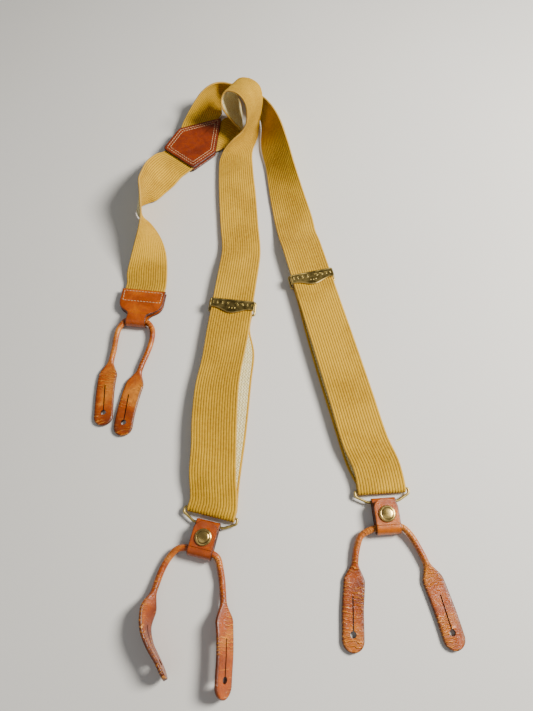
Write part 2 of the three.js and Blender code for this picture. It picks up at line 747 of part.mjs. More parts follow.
/** Keyhole cutter: round hole near the tip and a slit running back from it. */
function buttonhole(curve, route, length, end) {
  const distance = holeFromTip / length;
  const u = end === 0 ? distance : 1 - distance;
  const { point, tangent, side, normal } = loopFrame(curve, route, u);
  const back = end === 0 ? tangent.clone() : tangent.clone().negate();
  const meet = (Math.asin(slitWidth / 2 / holeRadius) * 180) / Math.PI;
  const outline = new THREE.Shape([
    ...arc(0, 0, holeRadius, 90 + meet, 450 - meet, 18),
    new THREE.Vector2(slitWidth / 2, slitLength),
    new THREE.Vector2(-slitWidth / 2, slitLength),
  ]);
  const cutter = new THREE.ExtrudeGeometry(outline, { depth: 12, bevelEnabled: false });
  cutter.translate(0, 0, -6);
  const across = back.clone().cross(normal);
  cutter.applyMatrix4(new THREE.Matrix4().makeBasis(across, back, normal).setPosition(point));
  return cutter;
}

/** Middle of a loop's route: the short straight stretch held by its tab. */
function heldStretch(place, along, halfHeld, z) {
  return [-1, 0, 1].map((step) => {
    const point = place.point(along, step * halfHeld, z);
    return [point.x, point.y, point.z, 0];
  });
}

const flatZ = bladeHalfThick + tableGap;
const loopRoutes = {
  button_loop_left: [
    [-64.5, -291.5, 8.3, 92], [-70.7, -280.9, 8.3, 91], [-77.5, -270.7, 8.3, 86], [-81.4, -260.2, 8.2, 76],
    [-80.9, -249.4, 7.6, 56], [-79, -239.7, 5.6, 34], [-77, -231, 3.6, 14], [-74.2, -222, 2.8, 0],
    [-69.5, -213.5, 3.4, 0], [-63.5, -207.6, 4.4, 0],
    ...heldStretch(sides.left.fold, tabLength, 10, cordZ),
    [-33.2, -214.3, 4.4, 0], [-31, -222, 3.4, 0], [-29.4, -230.5, 3, -8], [-28.4, -239, 4.8, -28],
    [-27.2, -250.4, 6.6, -42], [-26, -263.4, 7.1, -48], [-25.5, -276.9, 7.2, -50],
    [-25.9, -289.1, 7.2, -51], [-26.2, -303, 7, -52],
  ],
  button_loop_right: [
    [63.4, -276, flatZ, 0], [64.2, -262, flatZ, 0], [65, -248, flatZ, 0], [66.6, -236, flatZ, 0],
    [67.8, -225, flatZ, 0], [69, -215, 2.6, 0], [71, -206, 3, 0], [74.8, -197.8, 4, 0],
    ...heldStretch(sides.right.fold, tabLength, 10, cordZ),
    [111.6, -197.2, 4, 0], [117, -206.5, 3, 0], [121.4, -217, 2.6, 0], [125, -228.5, flatZ, 0],
    [128, -239, flatZ, 0], [131, -250, flatZ, 0], [133.7, -262, flatZ, 0], [136.2, -274.5, flatZ, 0],
  ],
  rear_button_loop: [
    [-133.6, -110, flatZ, 0], [-134.6, -96, flatZ, 0], [-135.4, -84, flatZ, 0], [-135.7, -72, flatZ, 0],
    [-135, -60, flatZ, 0], [-133.8, -48.5, 2.6, 0], [-132.8, -38, 2.8, 0], [-132.4, -27, 3.2, 0],
    [-130.4, -17.5, 4, 0],
    ...heldStretch(rearTabPlace, rearTabCord, 9.4, rearCordZ),
    [-100.8, -18.6, 4, 0], [-100.2, -30, 3.2, 0], [-103, -42.5, 2.8, 0], [-106.8, -55, 2.6, 0],
    [-110, -68, flatZ, 0], [-112.5, -79, flatZ, 0], [-114.6, -91, flatZ, 0], [-116, -103, flatZ, 0],
    [-116.8, -118.8, flatZ, 0],
  ],
};

function makeLoops() {
  for (const [name, route] of Object.entries(loopRoutes)) add(name, buttonLoop(route), 'leather');
}

// ---------------------------------------------------------------- the whole set
makeStraps();
makePatch();
makeRearTab();
for (const side of ['left', 'right']) {
  makeSlider(side);
  makeBail(side);
  makeTab(side);
}
makeLoops();

export default suspenders;
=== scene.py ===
"""Men's suspenders lying loose on a table: elastic straps, leather patch, tabs and button loops, brass.

Every length in the first part is in millimetres and repeats the part's own source; mm() turns it to metres.
"""
import math

import bmesh
import bpy
from mathutils import Matrix, Vector


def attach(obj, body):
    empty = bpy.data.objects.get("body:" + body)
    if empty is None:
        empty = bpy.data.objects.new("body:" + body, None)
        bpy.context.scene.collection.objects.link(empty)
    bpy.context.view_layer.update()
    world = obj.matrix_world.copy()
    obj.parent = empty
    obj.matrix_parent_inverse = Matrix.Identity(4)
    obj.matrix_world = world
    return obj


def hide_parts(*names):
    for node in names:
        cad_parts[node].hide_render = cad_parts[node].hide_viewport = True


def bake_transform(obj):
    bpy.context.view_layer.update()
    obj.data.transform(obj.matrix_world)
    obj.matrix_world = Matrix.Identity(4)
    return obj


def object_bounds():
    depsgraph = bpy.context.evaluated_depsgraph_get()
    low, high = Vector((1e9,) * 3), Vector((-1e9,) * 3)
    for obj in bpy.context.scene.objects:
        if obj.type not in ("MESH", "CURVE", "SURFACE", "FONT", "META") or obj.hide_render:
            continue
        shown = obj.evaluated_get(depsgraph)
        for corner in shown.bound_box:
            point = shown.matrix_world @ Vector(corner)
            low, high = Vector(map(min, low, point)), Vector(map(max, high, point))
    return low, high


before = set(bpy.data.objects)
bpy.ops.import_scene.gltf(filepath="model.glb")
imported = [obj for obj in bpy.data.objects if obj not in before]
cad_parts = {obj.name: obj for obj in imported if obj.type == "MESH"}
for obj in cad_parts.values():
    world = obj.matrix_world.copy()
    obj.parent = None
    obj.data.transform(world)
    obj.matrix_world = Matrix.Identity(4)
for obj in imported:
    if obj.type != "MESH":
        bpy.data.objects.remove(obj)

cad_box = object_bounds()

# ------------------------------------------------------------------ sizes, as in the part's source
WEB_WIDTH = 38.0
WEB_THICK = 2.0
FIT = 0.3
TABLE_GAP = 0.1

PATCH_THICK = 2.0
PATCH_BASE = 41.0
PATCH_SHOULDER = 51.0
PATCH_ROUND = 3.5
PATCH_SIDE = 33.0
PATCH_LENGTH = 76.5
PATCH_GAP = 0.4
PATCH_X, PATCH_Y, PATCH_AZIMUTH, PATCH_ROLL = -92.0, 188.0, 54.6, 7.0
PATCH_MID_Z = 6.75

CORD_RADIUS = 2.5
CORD_ROOM = 0.85
BLADE_HALF_WIDTH = 8.0
BLADE_HALF_THICK = 1.4
BLADE_LENGTH = 60.0
HOLE_RADIUS = 2.25
HOLE_FROM_TIP = 11.5
SLIT_WIDTH = 0.9
SLIT_LENGTH = 25.0

WIRE_RADIUS = 1.0
BAIL_DROP = 9.0
BAIL_LOWER_HALF = 11.0
BAIL_EDGE_ROOM = 2.0
BAIL_BEND = 1.4
FRAME_RADIUS = 1.1
FRAME_HALF_LENGTH = 6.0
FRAME_EDGE_ROOM = 2.0
FRAME_BEND = 2.0
PLATE_THICK = 1.2
PLATE_HALF_LENGTH = 4.8
PLATE_BELLY = 4.7
PLATE_EDGE_ROOM = 0.5

TAB_THICK = 1.6
TAB_WIDTH = 19.0
TAB_LENGTH = 29.0
TAB_INNER_END = 25.0
SNAP_AT = 19.5
FLAP_TOP = 8.0
FLAP_ROUND = 7.0
CAP_RADIUS = 6.35
CAP_HEIGHT = 2.0
CAP_BARREL_RADIUS = 1.3

REAR_TAB_THICK = 1.8
REAR_TAB_WIDTH = 41.0
REAR_TAB_STRAP = 12.0
REAR_TAB_CORD = 34.0
REAR_TAB_NECK = 18.0

LAYER = TABLE_GAP + WEB_THICK / 2
BAIL_Z = LAYER + WEB_THICK / 2 + FIT + WIRE_RADIUS
FOLD_RADIUS = WIRE_RADIUS + FIT + WEB_THICK / 2
LOWER_BAR_Z = TABLE_GAP + TAB_THICK + FIT + WIRE_RADIUS
WRAP_RADIUS = WIRE_RADIUS + FIT + TAB_THICK / 2
SLIDE_BAR_Z = LAYER + WEB_THICK / 2 + FIT + FRAME_RADIUS
LOOP_RADIUS = FRAME_RADIUS + FIT + WEB_THICK / 2
SLIDE_Z = SLIDE_BAR_Z + LOOP_RADIUS + WEB_THICK + FIT + 0.1
UPPER_BAR_Z = SLIDE_Z - WEB_THICK / 2 - FIT - FRAME_RADIUS
CORD_FOLD = CORD_RADIUS + CORD_ROOM + TAB_THICK / 2
CORD_Z = TABLE_GAP + TAB_THICK / 2 + CORD_FOLD
REAR_CORD_FOLD = CORD_RADIUS + CORD_ROOM + REAR_TAB_THICK / 2
REAR_CORD_Z = TABLE_GAP + REAR_TAB_THICK / 2 + REAR_CORD_FOLD
REAR_STRAP_Z = TABLE_GAP + REAR_TAB_THICK + FIT + WEB_THICK / 2
TAB_INNER_Z = LOWER_BAR_Z + WRAP_RADIUS
FLAP_Z = CORD_Z + CORD_FOLD
FLAP_HINGE_AT = TAB_LENGTH - 1.5
HALF_WEB = WEB_WIDTH / 2

FOLD_TAIL = 6.0
END_LAP = 14.0
SLIDE_SPAN = 28.0
FOLD_ANGLES = (0, 45, 90, 135, 180)
FOLD_LEAD = 6            # flat run into the fold over the bail
RETURN_BEND = 150        # from the slider, a distance along the strap return
FLAT_Z = BLADE_HALF_THICK + TABLE_GAP

# sizes of the detail that only the looks have
RIBS = 17                # raised ribs across the webbing
RIB_DEPTH = 0.22         # how deep the lines between them are
WEB_COLUMNS = 6          # mesh columns to a rib
WEB_FINE_STEP = 2.6      # rings along a strap
THREAD_RADIUS = 0.34
STITCH = 2.9             # stitch pitch
STITCH_GAP = 0.7
STITCH_RISE = 0.28       # how far a stitch bulges in its middle
STITCH_SINK = 0.22       # how deep its ends go in
WEB_EDGE_ROUND = 0.9     # width over which the webbing thins to its edge
BACK_RIB_SHARE = 0.35    # rib lines on the back, as a share of the face's
WEFT_PITCH = 0.9
STAMP_DEPTH = 0.32       # border of a slider plate over its ground
STRIP_STEP = 0.9         # rings along a bent leather strip
LOOP_RING_STEP = 1.5     # rings along a button loop
LOOP_ENDS = 4.5          # finer rings within this of its tips


def mm(value):
    """Millimetres, as a number or a vector, in metres."""
    return value / 1000.0


def turn(degrees):
    """Cosine and sine of an angle in degrees."""
    return math.cos(math.radians(degrees)), math.sin(math.radians(degrees))


# ------------------------------------------------------------------ places
class Place:
    """A spot on the table with a heading: x runs along the heading, y across it, to its left."""

    def __init__(self, x, y, azimuth):
        self.x, self.y, self.azimuth = x, y, azimuth
        self.cos, self.sin = turn(azimuth)

    def point(self, along, across, z):
        return Vector((
            self.x + along * self.cos - across * self.sin,
            self.y + along * self.sin + across * self.cos,
            z,
        ))

    def metres(self, along, across, z):
        return mm(self.point(along, across, z))

    def matrix(self):
        """From the place's own axes to the frame, for points in millimetres."""
        return Matrix.Translation((self.x, self.y, 0)) @ Matrix.Rotation(math.radians(self.azimuth), 4, "Z")


PATCH_PLACE = Place(PATCH_X, PATCH_Y, PATCH_AZIMUTH)
REAR_TAB = Place(-111.5, 22.3, -96.2)
SLIDER = {"left": Place(-28.4, 4, -96.9), "right": Place(45.8, 35.4, -76.9)}
FOLD = {"left": Place(-39.5, -181, -103.5), "right": Place(93.2, -163.5, -86)}


def patch_point(along, across):
    return PATCH_PLACE.point(along, across, PATCH_MID_Z + across * math.tan(math.radians(PATCH_ROLL)))


def station(place, along, z, across=0.0):
    return (place.point(along, across - HALF_WEB, z), place.point(along, across + HALF_WEB, z))


def pair(x1, y1, z1, x2, y2, z2):
    return (Vector((x1, y1, z1)), Vector((x2, y2, z2)))


def bail_fold(place):
    """Stations around the bail's top bar, ending on the table behind it."""
    turns = [turn(angle) for angle in FOLD_ANGLES]
    return [
        station(place, -FOLD_LEAD, BAIL_Z + FOLD_RADIUS),
        *(station(place, FOLD_RADIUS * sin, BAIL_Z + FOLD_RADIUS * cos) for cos, sin in turns),
        station(place, -FOLD_TAIL, LAYER),
    ]


def slider_loop(place):
    """Stations of the strap end that goes around the slider's lower bar."""
    turns = [turn(angle) for angle in FOLD_ANGLES]
    end = FRAME_HALF_LENGTH + END_LAP
    return [
        station(place, end, LAYER),
        *(
            station(place, FRAME_HALF_LENGTH - LOOP_RADIUS * sin, SLIDE_BAR_Z - LOOP_RADIUS * cos)
            for cos, sin in turns
        ),
        station(place, end, SLIDE_BAR_Z + LOOP_RADIUS - 0.3),
    ]


STRAPS = {
    "front_strap_left": [
        (patch_point(28, -19), patch_point(67, -1.5)),
        (patch_point(33, -21.6), patch_point(73, -1.5)),
        (patch_point(38, -24.4), patch_point(80, -1.5)),
        pair(-40, 212, 2.6, -37, 258.5, 4.6),
        pair(-28.5, 221, 2.2, -29, 265, 2.6),
        pair(-23.5, 224.5, 6.5, -26, 266, 4.6),
        pair(-25.6, 226.5, 12, -26.1, 265, 8.5),
        pair(-34.6, 229.1, 22.3, -26.3, 265.3, 15),
        pair(-43.9, 230.2, 37.4, -28.5, 264, 26),
        pair(-44.9, 234.2, 45.1, -32.5, 268.5, 36),
        pair(-39.7, 236.6, 53, -25.7, 270.5, 43),
        pair(-31.8, 235.2, 53.5, -13.7, 267.5, 44.5),
        pair(-23.7, 230.4, 51.1, -4.2, 260, 41.5),
        pair(-18.6, 225.1, 44.6, -1.5, 252.1, 33),
        pair(-17.8, 221.5, 35.3, -2.5, 248.5, 23),
        pair(-19.1, 218.8, 26.5, -4.5, 246.5, 12),
        pair(-24, 215, 20, -5.5, 241, 3.4),
        pair(-33.1, 208.9, 15.5, -6.3, 231.5, 1.8),
        pair(-42.5, 202, 9, -8.5, 221, 1.5),
        pair(-47.5, 191, 4.4, -12.2, 206, 1.5),
        pair(-47.8, 169.6, 3.7, -11.4, 179.5, 1.5),
        pair(-46.3, 140, 3.8, -8.2, 145.2, 1.5),
        pair(-43.3, 100.4, 3.5, -5.2, 102.6, 1.8),
        pair(-40.6, 72, 4.6, -2.8, 68, 3.8),
        station(SLIDER["left"], -42, SLIDE_Z - 0.6),
        station(SLIDER["left"], -SLIDE_SPAN, SLIDE_Z),
        station(SLIDER["left"], 0, SLIDE_Z),
        station(SLIDER["left"], SLIDE_SPAN, SLIDE_Z),
        pair(-53.4, -50, 8.7, -16, -46, 8.7),
        pair(-57.8, -78, 9, -20, -73, 9),
        pair(-58.7, -108, 10, -21.2, -105, 8),
        pair(-57.8, -129, 10, -21.2, -133, 7.5),
        pair(-58.2, -150, 8.5, -20.8, -155, 7.5),
        *bail_fold(FOLD["left"]),
    ],
    "front_strap_right": [
        (patch_point(69.5, 3), patch_point(26, 20)),
        (patch_point(76, 3.8), patch_point(33, 23.6)),
        (patch_point(83, 4.8), patch_point(41, 27.8)),
        pair(-47.8, 272, 4, -81.9, 260, 15),
        pair(-44.3, 286.5, 1.8, -69.8, 272, 25.5),
        pair(-41, 295.1, 1.5, -58.2, 278, 30.6),
        pair(-36.5, 301.2, 1.5, -48.4, 280.7, 31),
        pair(-29.5, 302.9, 1.5, -35.6, 278.8, 30),
        pair(-19.9, 297.7, 1.5, -18.6, 272.3, 29.5),
        pair(-12.8, 288.2, 1.5, -1.5, 262.6, 27),
        pair(-7.4, 271.2, 1.5, 8.2, 248.7, 27.6),
        pair(-2.7, 246.6, 1.5, 17.5, 227.2, 27),
        pair(-2.9, 212, 1.5, 25.7, 198.8, 23),
        pair(2.5, 180.5, 1.5, 32.5, 168.4, 19.5),
        pair(6.1, 145, 1.5, 41.3, 137.4, 12),
        pair(11.1, 107.5, 2.2, 49.2, 110, 6),
        station(SLIDER["right"], -54, SLIDE_Z - 3),
        station(SLIDER["right"], -42, SLIDE_Z - 0.6),
        station(SLIDER["right"], -SLIDE_SPAN, SLIDE_Z),
        station(SLIDER["right"], 0, SLIDE_Z),
        station(SLIDER["right"], SLIDE_SPAN, SLIDE_Z),
        station(SLIDER["right"], 75, 9),
        station(SLIDER["right"], 125, 8.6),
        station(SLIDER["right"], 165, 7.6),
        pair(71.5, -147.5, 6.6, 109, -141, 6.6),
        *bail_fold(FOLD["right"]),
    ],
    "strap_return_left": [
        station(FOLD["left"], -FOLD_TAIL - FIT, LAYER),
        pair(-56.4, -155, LAYER, -18.4, -160, LAYER),
        pair(-51.6, -115, LAYER, -13.7, -116.8, LAYER),
        pair(-47.9, -69, LAYER, -10, -70, LAYER),
        pair(-45.6, -40, LAYER, -7.8, -42, LAYER),
        *slider_loop(SLIDER["left"]),
    ],
    "strap_return_right": [
        station(FOLD["right"], -FOLD_TAIL - FIT, LAYER),
        station(SLIDER["right"], 180, LAYER, -0.5),
        station(SLIDER["right"], 140, LAYER, -1.3),
        station(SLIDER["right"], 90, LAYER, -1.8),
        station(SLIDER["right"], 45, LAYER, -1),
        *slider_loop(SLIDER["right"]),
    ],
    "rear_strap": [
        (patch_point(20, 19), patch_point(20, -19)),
        (patch_point(10, 19), patch_point(10, -19)),
        (patch_point(-2, 19), patch_point(-2, -19)),
        pair(-114, 191.5, 12.5, -87, 168, 2),
        pair(-118, 178, 20, -95, 155.5, 1.5),
        pair(-119.7, 160, 30, -103.5, 145, 1.5),
        pair(-120.4, 144.2, 36, -111, 136.1, 1.5),
        pair(-121.5, 130.3, 38.5, -118.5, 133, 1.5),
        pair(-119.3, 117, 38, -127, 127.5, 1.5),
        pair(-118.1, 106.5, 35.3, -129.8, 121.5, 1.5),
        pair(-117.2, 97, 32.5, -126.5, 113.5, 1.5),
        pair(-117.2, 88, 30, -117.5, 107.5, 1.5),
        pair(-119, 79, 26, -107, 94, 1.5),
        pair(-122.5, 69, 20, -100.5, 82, 1.5),
        pair(-126.8, 56, 12, -95.5, 67, 1.5),
        pair(-130.3, 42, 5, -92.8, 49, 2),
        station(REAR_TAB, -8, REAR_STRAP_Z),
        station(REAR_TAB, 0, REAR_STRAP_Z),
        station(REAR_TAB, REAR_TAB_STRAP, REAR_STRAP_Z),
    ],
}


def held(place, along, half, z):
    return [(*place.point(along, step * half, z), 0) for step in (-1, 0, 1)]


LOOPS = {
    "button_loop_left": [
        (-64.5, -291.5, 8.3, 92), (-70.7, -280.9, 8.3, 91), (-77.5, -270.7, 8.3, 86), (-81.4, -260.2, 8.2, 76),
        (-80.9, -249.4, 7.6, 56), (-79, -239.7, 5.6, 34), (-77, -231, 3.6, 14), (-74.2, -222, 2.8, 0),
        (-69.5, -213.5, 3.4, 0), (-63.5, -207.6, 4.4, 0),
        *held(FOLD["left"], TAB_LENGTH, 10, CORD_Z),
        (-33.2, -214.3, 4.4, 0), (-31, -222, 3.4, 0), (-29.4, -230.5, 3, -8), (-28.4, -239, 4.8, -28),
        (-27.2, -250.4, 6.6, -42), (-26, -263.4, 7.1, -48), (-25.5, -276.9, 7.2, -50),
        (-25.9, -289.1, 7.2, -51), (-26.2, -303, 7, -52),
    ],
    "button_loop_right": [
        (63.4, -276, FLAT_Z, 0), (64.2, -262, FLAT_Z, 0), (65, -248, FLAT_Z, 0), (66.6, -236, FLAT_Z, 0),
        (67.8, -225, FLAT_Z, 0), (69, -215, 2.6, 0), (71, -206, 3, 0), (74.8, -197.8, 4, 0),
        *held(FOLD["right"], TAB_LENGTH, 10, CORD_Z),
        (111.6, -197.2, 4, 0), (117, -206.5, 3, 0), (121.4, -217, 2.6, 0), (125, -228.5, FLAT_Z, 0),
        (128, -239, FLAT_Z, 0), (131, -250, FLAT_Z, 0), (133.7, -262, FLAT_Z, 0), (136.2, -274.5, FLAT_Z, 0),
    ],
    "rear_button_loop": [
        (-133.6, -110, FLAT_Z, 0), (-134.6, -96, FLAT_Z, 0), (-135.4, -84, FLAT_Z, 0), (-135.7, -72, FLAT_Z, 0),
        (-135, -60, FLAT_Z, 0), (-133.8, -48.5, 2.6, 0), (-132.8, -38, 2.8, 0), (-132.4, -27, 3.2, 0),
        (-130.4, -17.5, 4, 0),
        *held(REAR_TAB, REAR_TAB_CORD, 9.4, REAR_CORD_Z),
        (-100.8, -18.6, 4, 0), (-100.2, -30, 3.2, 0), (-103, -42.5, 2.8, 0), (-106.8, -55, 2.6, 0),
        (-110, -68, FLAT_Z, 0), (-112.5, -79, FLAT_Z, 0), (-114.6, -91, FLAT_Z, 0), (-116, -103, FLAT_Z, 0),
        (-116.8, -118.8, FLAT_Z, 0),
    ],
}


# ------------------------------------------------------------------ curves and meshes
def circle(sides):
    """Cosine and sine at even steps around a circle."""
    return [(math.cos(2 * math.pi * j / sides), math.sin(2 * math.pi * j / sides)) for j in range(sides)]


def rounded_path(corners, radius, step, bend_steps):
    """Points along a closed polygon with rounded corners, no further apart than step."""
    corners = [Vector(c) for c in corners]
    path = []

    def straight_to(stop):
        last = path[-1]
        gap = stop - last
        pieces = max(1, math.ceil(gap.length / step))
        path.extend(last + gap * (k / pieces) for k in range(1, pieces))

    for i, corner in enumerate(corners):
        before, after = corners[i - 1], corners[(i + 1) % len(corners)]
        start = corner + (before - corner).normalized() * radius
        stop = corner + (after - corner).normalized() * radius
        if path:
            straight_to(start)
        for k in range(bend_steps + 1):
            t = k / bend_steps
            path.append((1 - t) ** 2 * start + 2 * t * (1 - t) * corner + t**2 * stop)
    straight_to(path[0])
    return path


class Spline:
    """Centripetal Catmull-Rom curve through points, the same that the part's source uses."""

    def __init__(self, points, samples=900):
        self.points = [Vector(p) for p in points]
        self.table = [0.0]
        previous = self.at(0.0)
        self.samples = samples
        for i in range(1, samples + 1):
            point = self.at(i / samples)
            self.table.append(self.table[-1] + (point - previous).length)
            previous = point
        self.length = self.table[-1]

    def at(self, t):
        points = self.points
        spans = len(points) - 1
        place = min(max(t, 0.0), 1.0) * spans
        i = min(int(place), spans - 1)
        weight = place - i
        p1, p2 = points[i], points[i + 1]
        p0 = points[i - 1] if i > 0 else 2 * points[0] - points[1]
        p3 = points[i + 2] if i + 2 < len(points) else 2 * points[-1] - points[-2]
        d0, d1, d2 = (max((b - a).length_squared ** 0.25, 1e-4) for a, b in ((p0, p1), (p1, p2), (p2, p3)))
        m1 = ((p1 - p0) / d0 - (p2 - p0) / (d0 + d1) + (p2 - p1) / d1) * d1
        m2 = ((p2 - p1) / d1 - (p3 - p1) / (d1 + d2) + (p3 - p2) / d2) * d1
        c2 = -3 * p1 + 3 * p2 - 2 * m1 - m2
        c3 = 2 * p1 - 2 * p2 + m1 + m2
        return p1 + m1 * weight + c2 * weight**2 + c3 * weight**3

    def tangent(self, t):
        delta = 1e-4
        return (self.at(min(t + delta, 1.0)) - self.at(max(t - delta, 0.0))).normalized()

    def parameter(self, distance):
        """The parameter at a distance along the curve."""
        low, high = 0, self.samples
        while high - low > 1:
            middle = (low + high) // 2
            if self.table[middle] < distance:
                low = middle
            else:
                high = middle
        span = self.table[high] - self.table[low]
        part = (distance - self.table[low]) / span if span > 0 else 0.0
        return (low + min(max(part, 0.0), 1.0)) / self.samples


class Builder:
    """Collects vertices in millimetres, faces, and one UV and one colour value to each corner."""

    def __init__(self):
        self.points, self.faces, self.uvs, self.marks = [], [], [], []

    def ring(self, points):
        start = len(self.points)
        self.points.extend(points)
        return list(range(start, start + len(points)))

    def face(self, corners, uvs=None, marks=None):
        self.faces.append(corners)
        self.uvs.append(uvs or [(0.0, 0.0)] * len(corners))
        self.marks.append(marks or [0.0] * len(corners))

    def skin(self, rings):
        """Faces along rows of (ring, marks, distance), with UVs around and along them."""
        size = len(rings[0][0])
        for (a, marks_a, v_a), (b, marks_b, v_b) in zip(rings, rings[1:]):
            for j in range(size):
                i = (j + 1) % size
                uv = [(j / size, v_a), ((j + 1) / size, v_a), ((j + 1) / size, v_b), (j / size, v_b)]
                self.face([a[j], a[i], b[i], b[j]], uv, [marks_a[j], marks_a[i], marks_b[i], marks_b[j]])

    def ends(self, first, last, mark):
        """Close both ends of a skin."""
        self.face(first[::-1], None, [mark] * len(first))
        self.face(last, None, [mark] * len(last))

    def object(self, name, material, smooth_angle=40.0):
        mesh = bpy.data.meshes.new(name)
        mesh.from_pydata([tuple(mm(p)) for p in self.points], [], self.faces)
        mesh.uv_layers.new(name="UVMap")
        mesh.attributes.new("mark", "FLOAT", "CORNER")
        mesh.uv_layers["UVMap"].data.foreach_set("uv", [c for uvs in self.uvs for uv in uvs for c in uv])
        mesh.attributes["mark"].data.foreach_set("value", [m for marks in self.marks for m in marks])
        mesh.materials.append(material)
        obj = bpy.data.objects.new(name, mesh)
        bpy.context.scene.collection.objects.link(obj)
        outward(mesh)
        smooth(mesh, smooth_angle)
        return obj


def outward(mesh):
    edit = bmesh.new()
    edit.from_mesh(mesh)
    bmesh.ops.recalc_face_normals(edit, faces=edit.faces)
    edit.to_mesh(mesh)
    edit.free()


def smooth(mesh, angle):
    for polygon in mesh.polygons:
        polygon.use_smooth = True
    mesh.set_sharp_from_angle(angle=math.radians(angle))


def apply_modifiers(obj):
    graph = bpy.context.evaluated_depsgraph_get()
    mesh = bpy.data.meshes.new_from_object(
        obj.evaluated_get(graph), preserve_all_data_layers=True, depsgraph=graph,
    )
    old = obj.data
    obj.modifiers.clear()
    obj.data = mesh
    mesh.name = old.name
    bpy.data.meshes.remove(old)


# ------------------------------------------------------------------ node materials
class Nodes:
    """Small helper that adds and links shader nodes."""

    def __init__(self, name):
        self.material = bpy.data.materials.new(name)
        self.material.use_nodes = True
        self.tree = self.material.node_tree
        self.shader = self.tree.nodes["Principled BSDF"]

    def feed(self, socket, value):
        """Link a socket to another one, or set it to a constant."""
        if isinstance(value, bpy.types.NodeSocket):
            self.tree.links.new(value, socket)
        else:
            socket.default_value = value

    def new(self, kind, inputs=None, **settings):
        node = self.tree.nodes.new(kind)
        for key, value in settings.items():
            setattr(node, key, value)
        for key, value in (inputs or {}).items():
            self.feed(node.inputs[key], value)
        return node

    def math(self, operation, a, b=0.0):
        return self.new("ShaderNodeMath", {0: a, 1: b}, operation=operation).outputs[0]

    def times(self, a, b):
        return self.math("MULTIPLY", a, b)

    def plus(self, a, b):
        return self.math("ADD", a, b)

    def minus(self, a, b):
        return self.math("SUBTRACT", a, b)

    def from_middle(self, value):
        """Distance of a value that runs from 0 to 1 from its middle."""
        return self.math("ABSOLUTE", self.minus(value, 0.5))

    def scratches(self, place, heading, scale):
        """Coordinates that are squeezed across one heading, for fine scratches."""
        inputs = {"Vector": place, "Rotation": (0.0, 0.0, heading), "Scale": scale}
        return self.new("ShaderNodeMapping", inputs).outputs[0]

    def combine(self, x, y):
        return self.new("ShaderNodeCombineXYZ", {0: x, 1: y}).outputs[0]

    def mix(self, factor, a, b):
        node = self.new("ShaderNodeMix", data_type="RGBA")
        for index, value in ((0, factor), (6, a), (7, b)):
            self.feed(node.inputs[index], value)
        return node.outputs[2]

    def ramp(self, value, *stops):
        node = self.new("ShaderNodeValToRGB", {0: value})
        elements = node.color_ramp.elements
        while len(elements) < len(stops):
            elements.new(0.5)
        for element, (position, colour) in zip(elements, stops):
            element.position = position
            element.color = colour if isinstance(colour, tuple) else (colour, colour, colour, 1)
        return node.outputs[0]

    def noise(self, vector, scale, detail=3.0, roughness=0.5, distortion=0.0):
        inputs = {"Vector": vector, "Scale": scale, "Detail": detail, "Roughness": roughness}
        inputs["Distortion"] = distortion
        return self.new("ShaderNodeTexNoise", inputs).outputs[0]

    def spread(self, value, low, high, out_low=0.0, out_high=1.0):
        return self.new(
            "ShaderNodeMapRange",
            {"Value": value, "From Min": low, "From Max": high, "To Min": out_low, "To Max": out_high},
            interpolation_type="SMOOTHSTEP",
        ).outputs[0]

    def bump(self, height, distance, strength=1.0, normal=None):
        inputs = {"Height": height, "Distance": distance, "Strength": strength}
        if normal is not None:
            inputs["Normal"] = normal
        return self.new("ShaderNodeBump", inputs).outputs[0]

    def uv(self):
        split = self.new("ShaderNodeSeparateXYZ", {0: self.new("ShaderNodeUVMap", uv_map="UVMap").outputs[0]})
        return split.outputs[0], split.outputs[1]

    def mark(self):
        return self.new("ShaderNodeAttribute", attribute_name="mark").outputs["Fac"]

    def place(self):
        return self.new("ShaderNodeTexCoord").outputs["Object"]

    def set(self, **sockets):
        names = {"colour": "Base Color", "rough": "Roughness", "metal": "Metallic", "normal": "Normal",
                 "sheen": "Sheen Weight", "sheen_rough": "Sheen Roughness", "coat": "Coat Weight",
                 "coat_rough": "Coat Roughness", "specular": "Specular IOR Level"}
        for key, value in sockets.items():
            self.feed(self.shader.inputs[names[key]], value)
        return self.material


def rgb(red, green, blue):
    """A colour given as it looks on screen, from 0 to 255, as the shader wants it."""
    def linear(c):
        c /= 255.0
        return c / 12.92 if c <= 0.04045 else ((c + 0.055) / 1.055) ** 2.4
    return (linear(red), linear(green), linear(blue), 1.0)


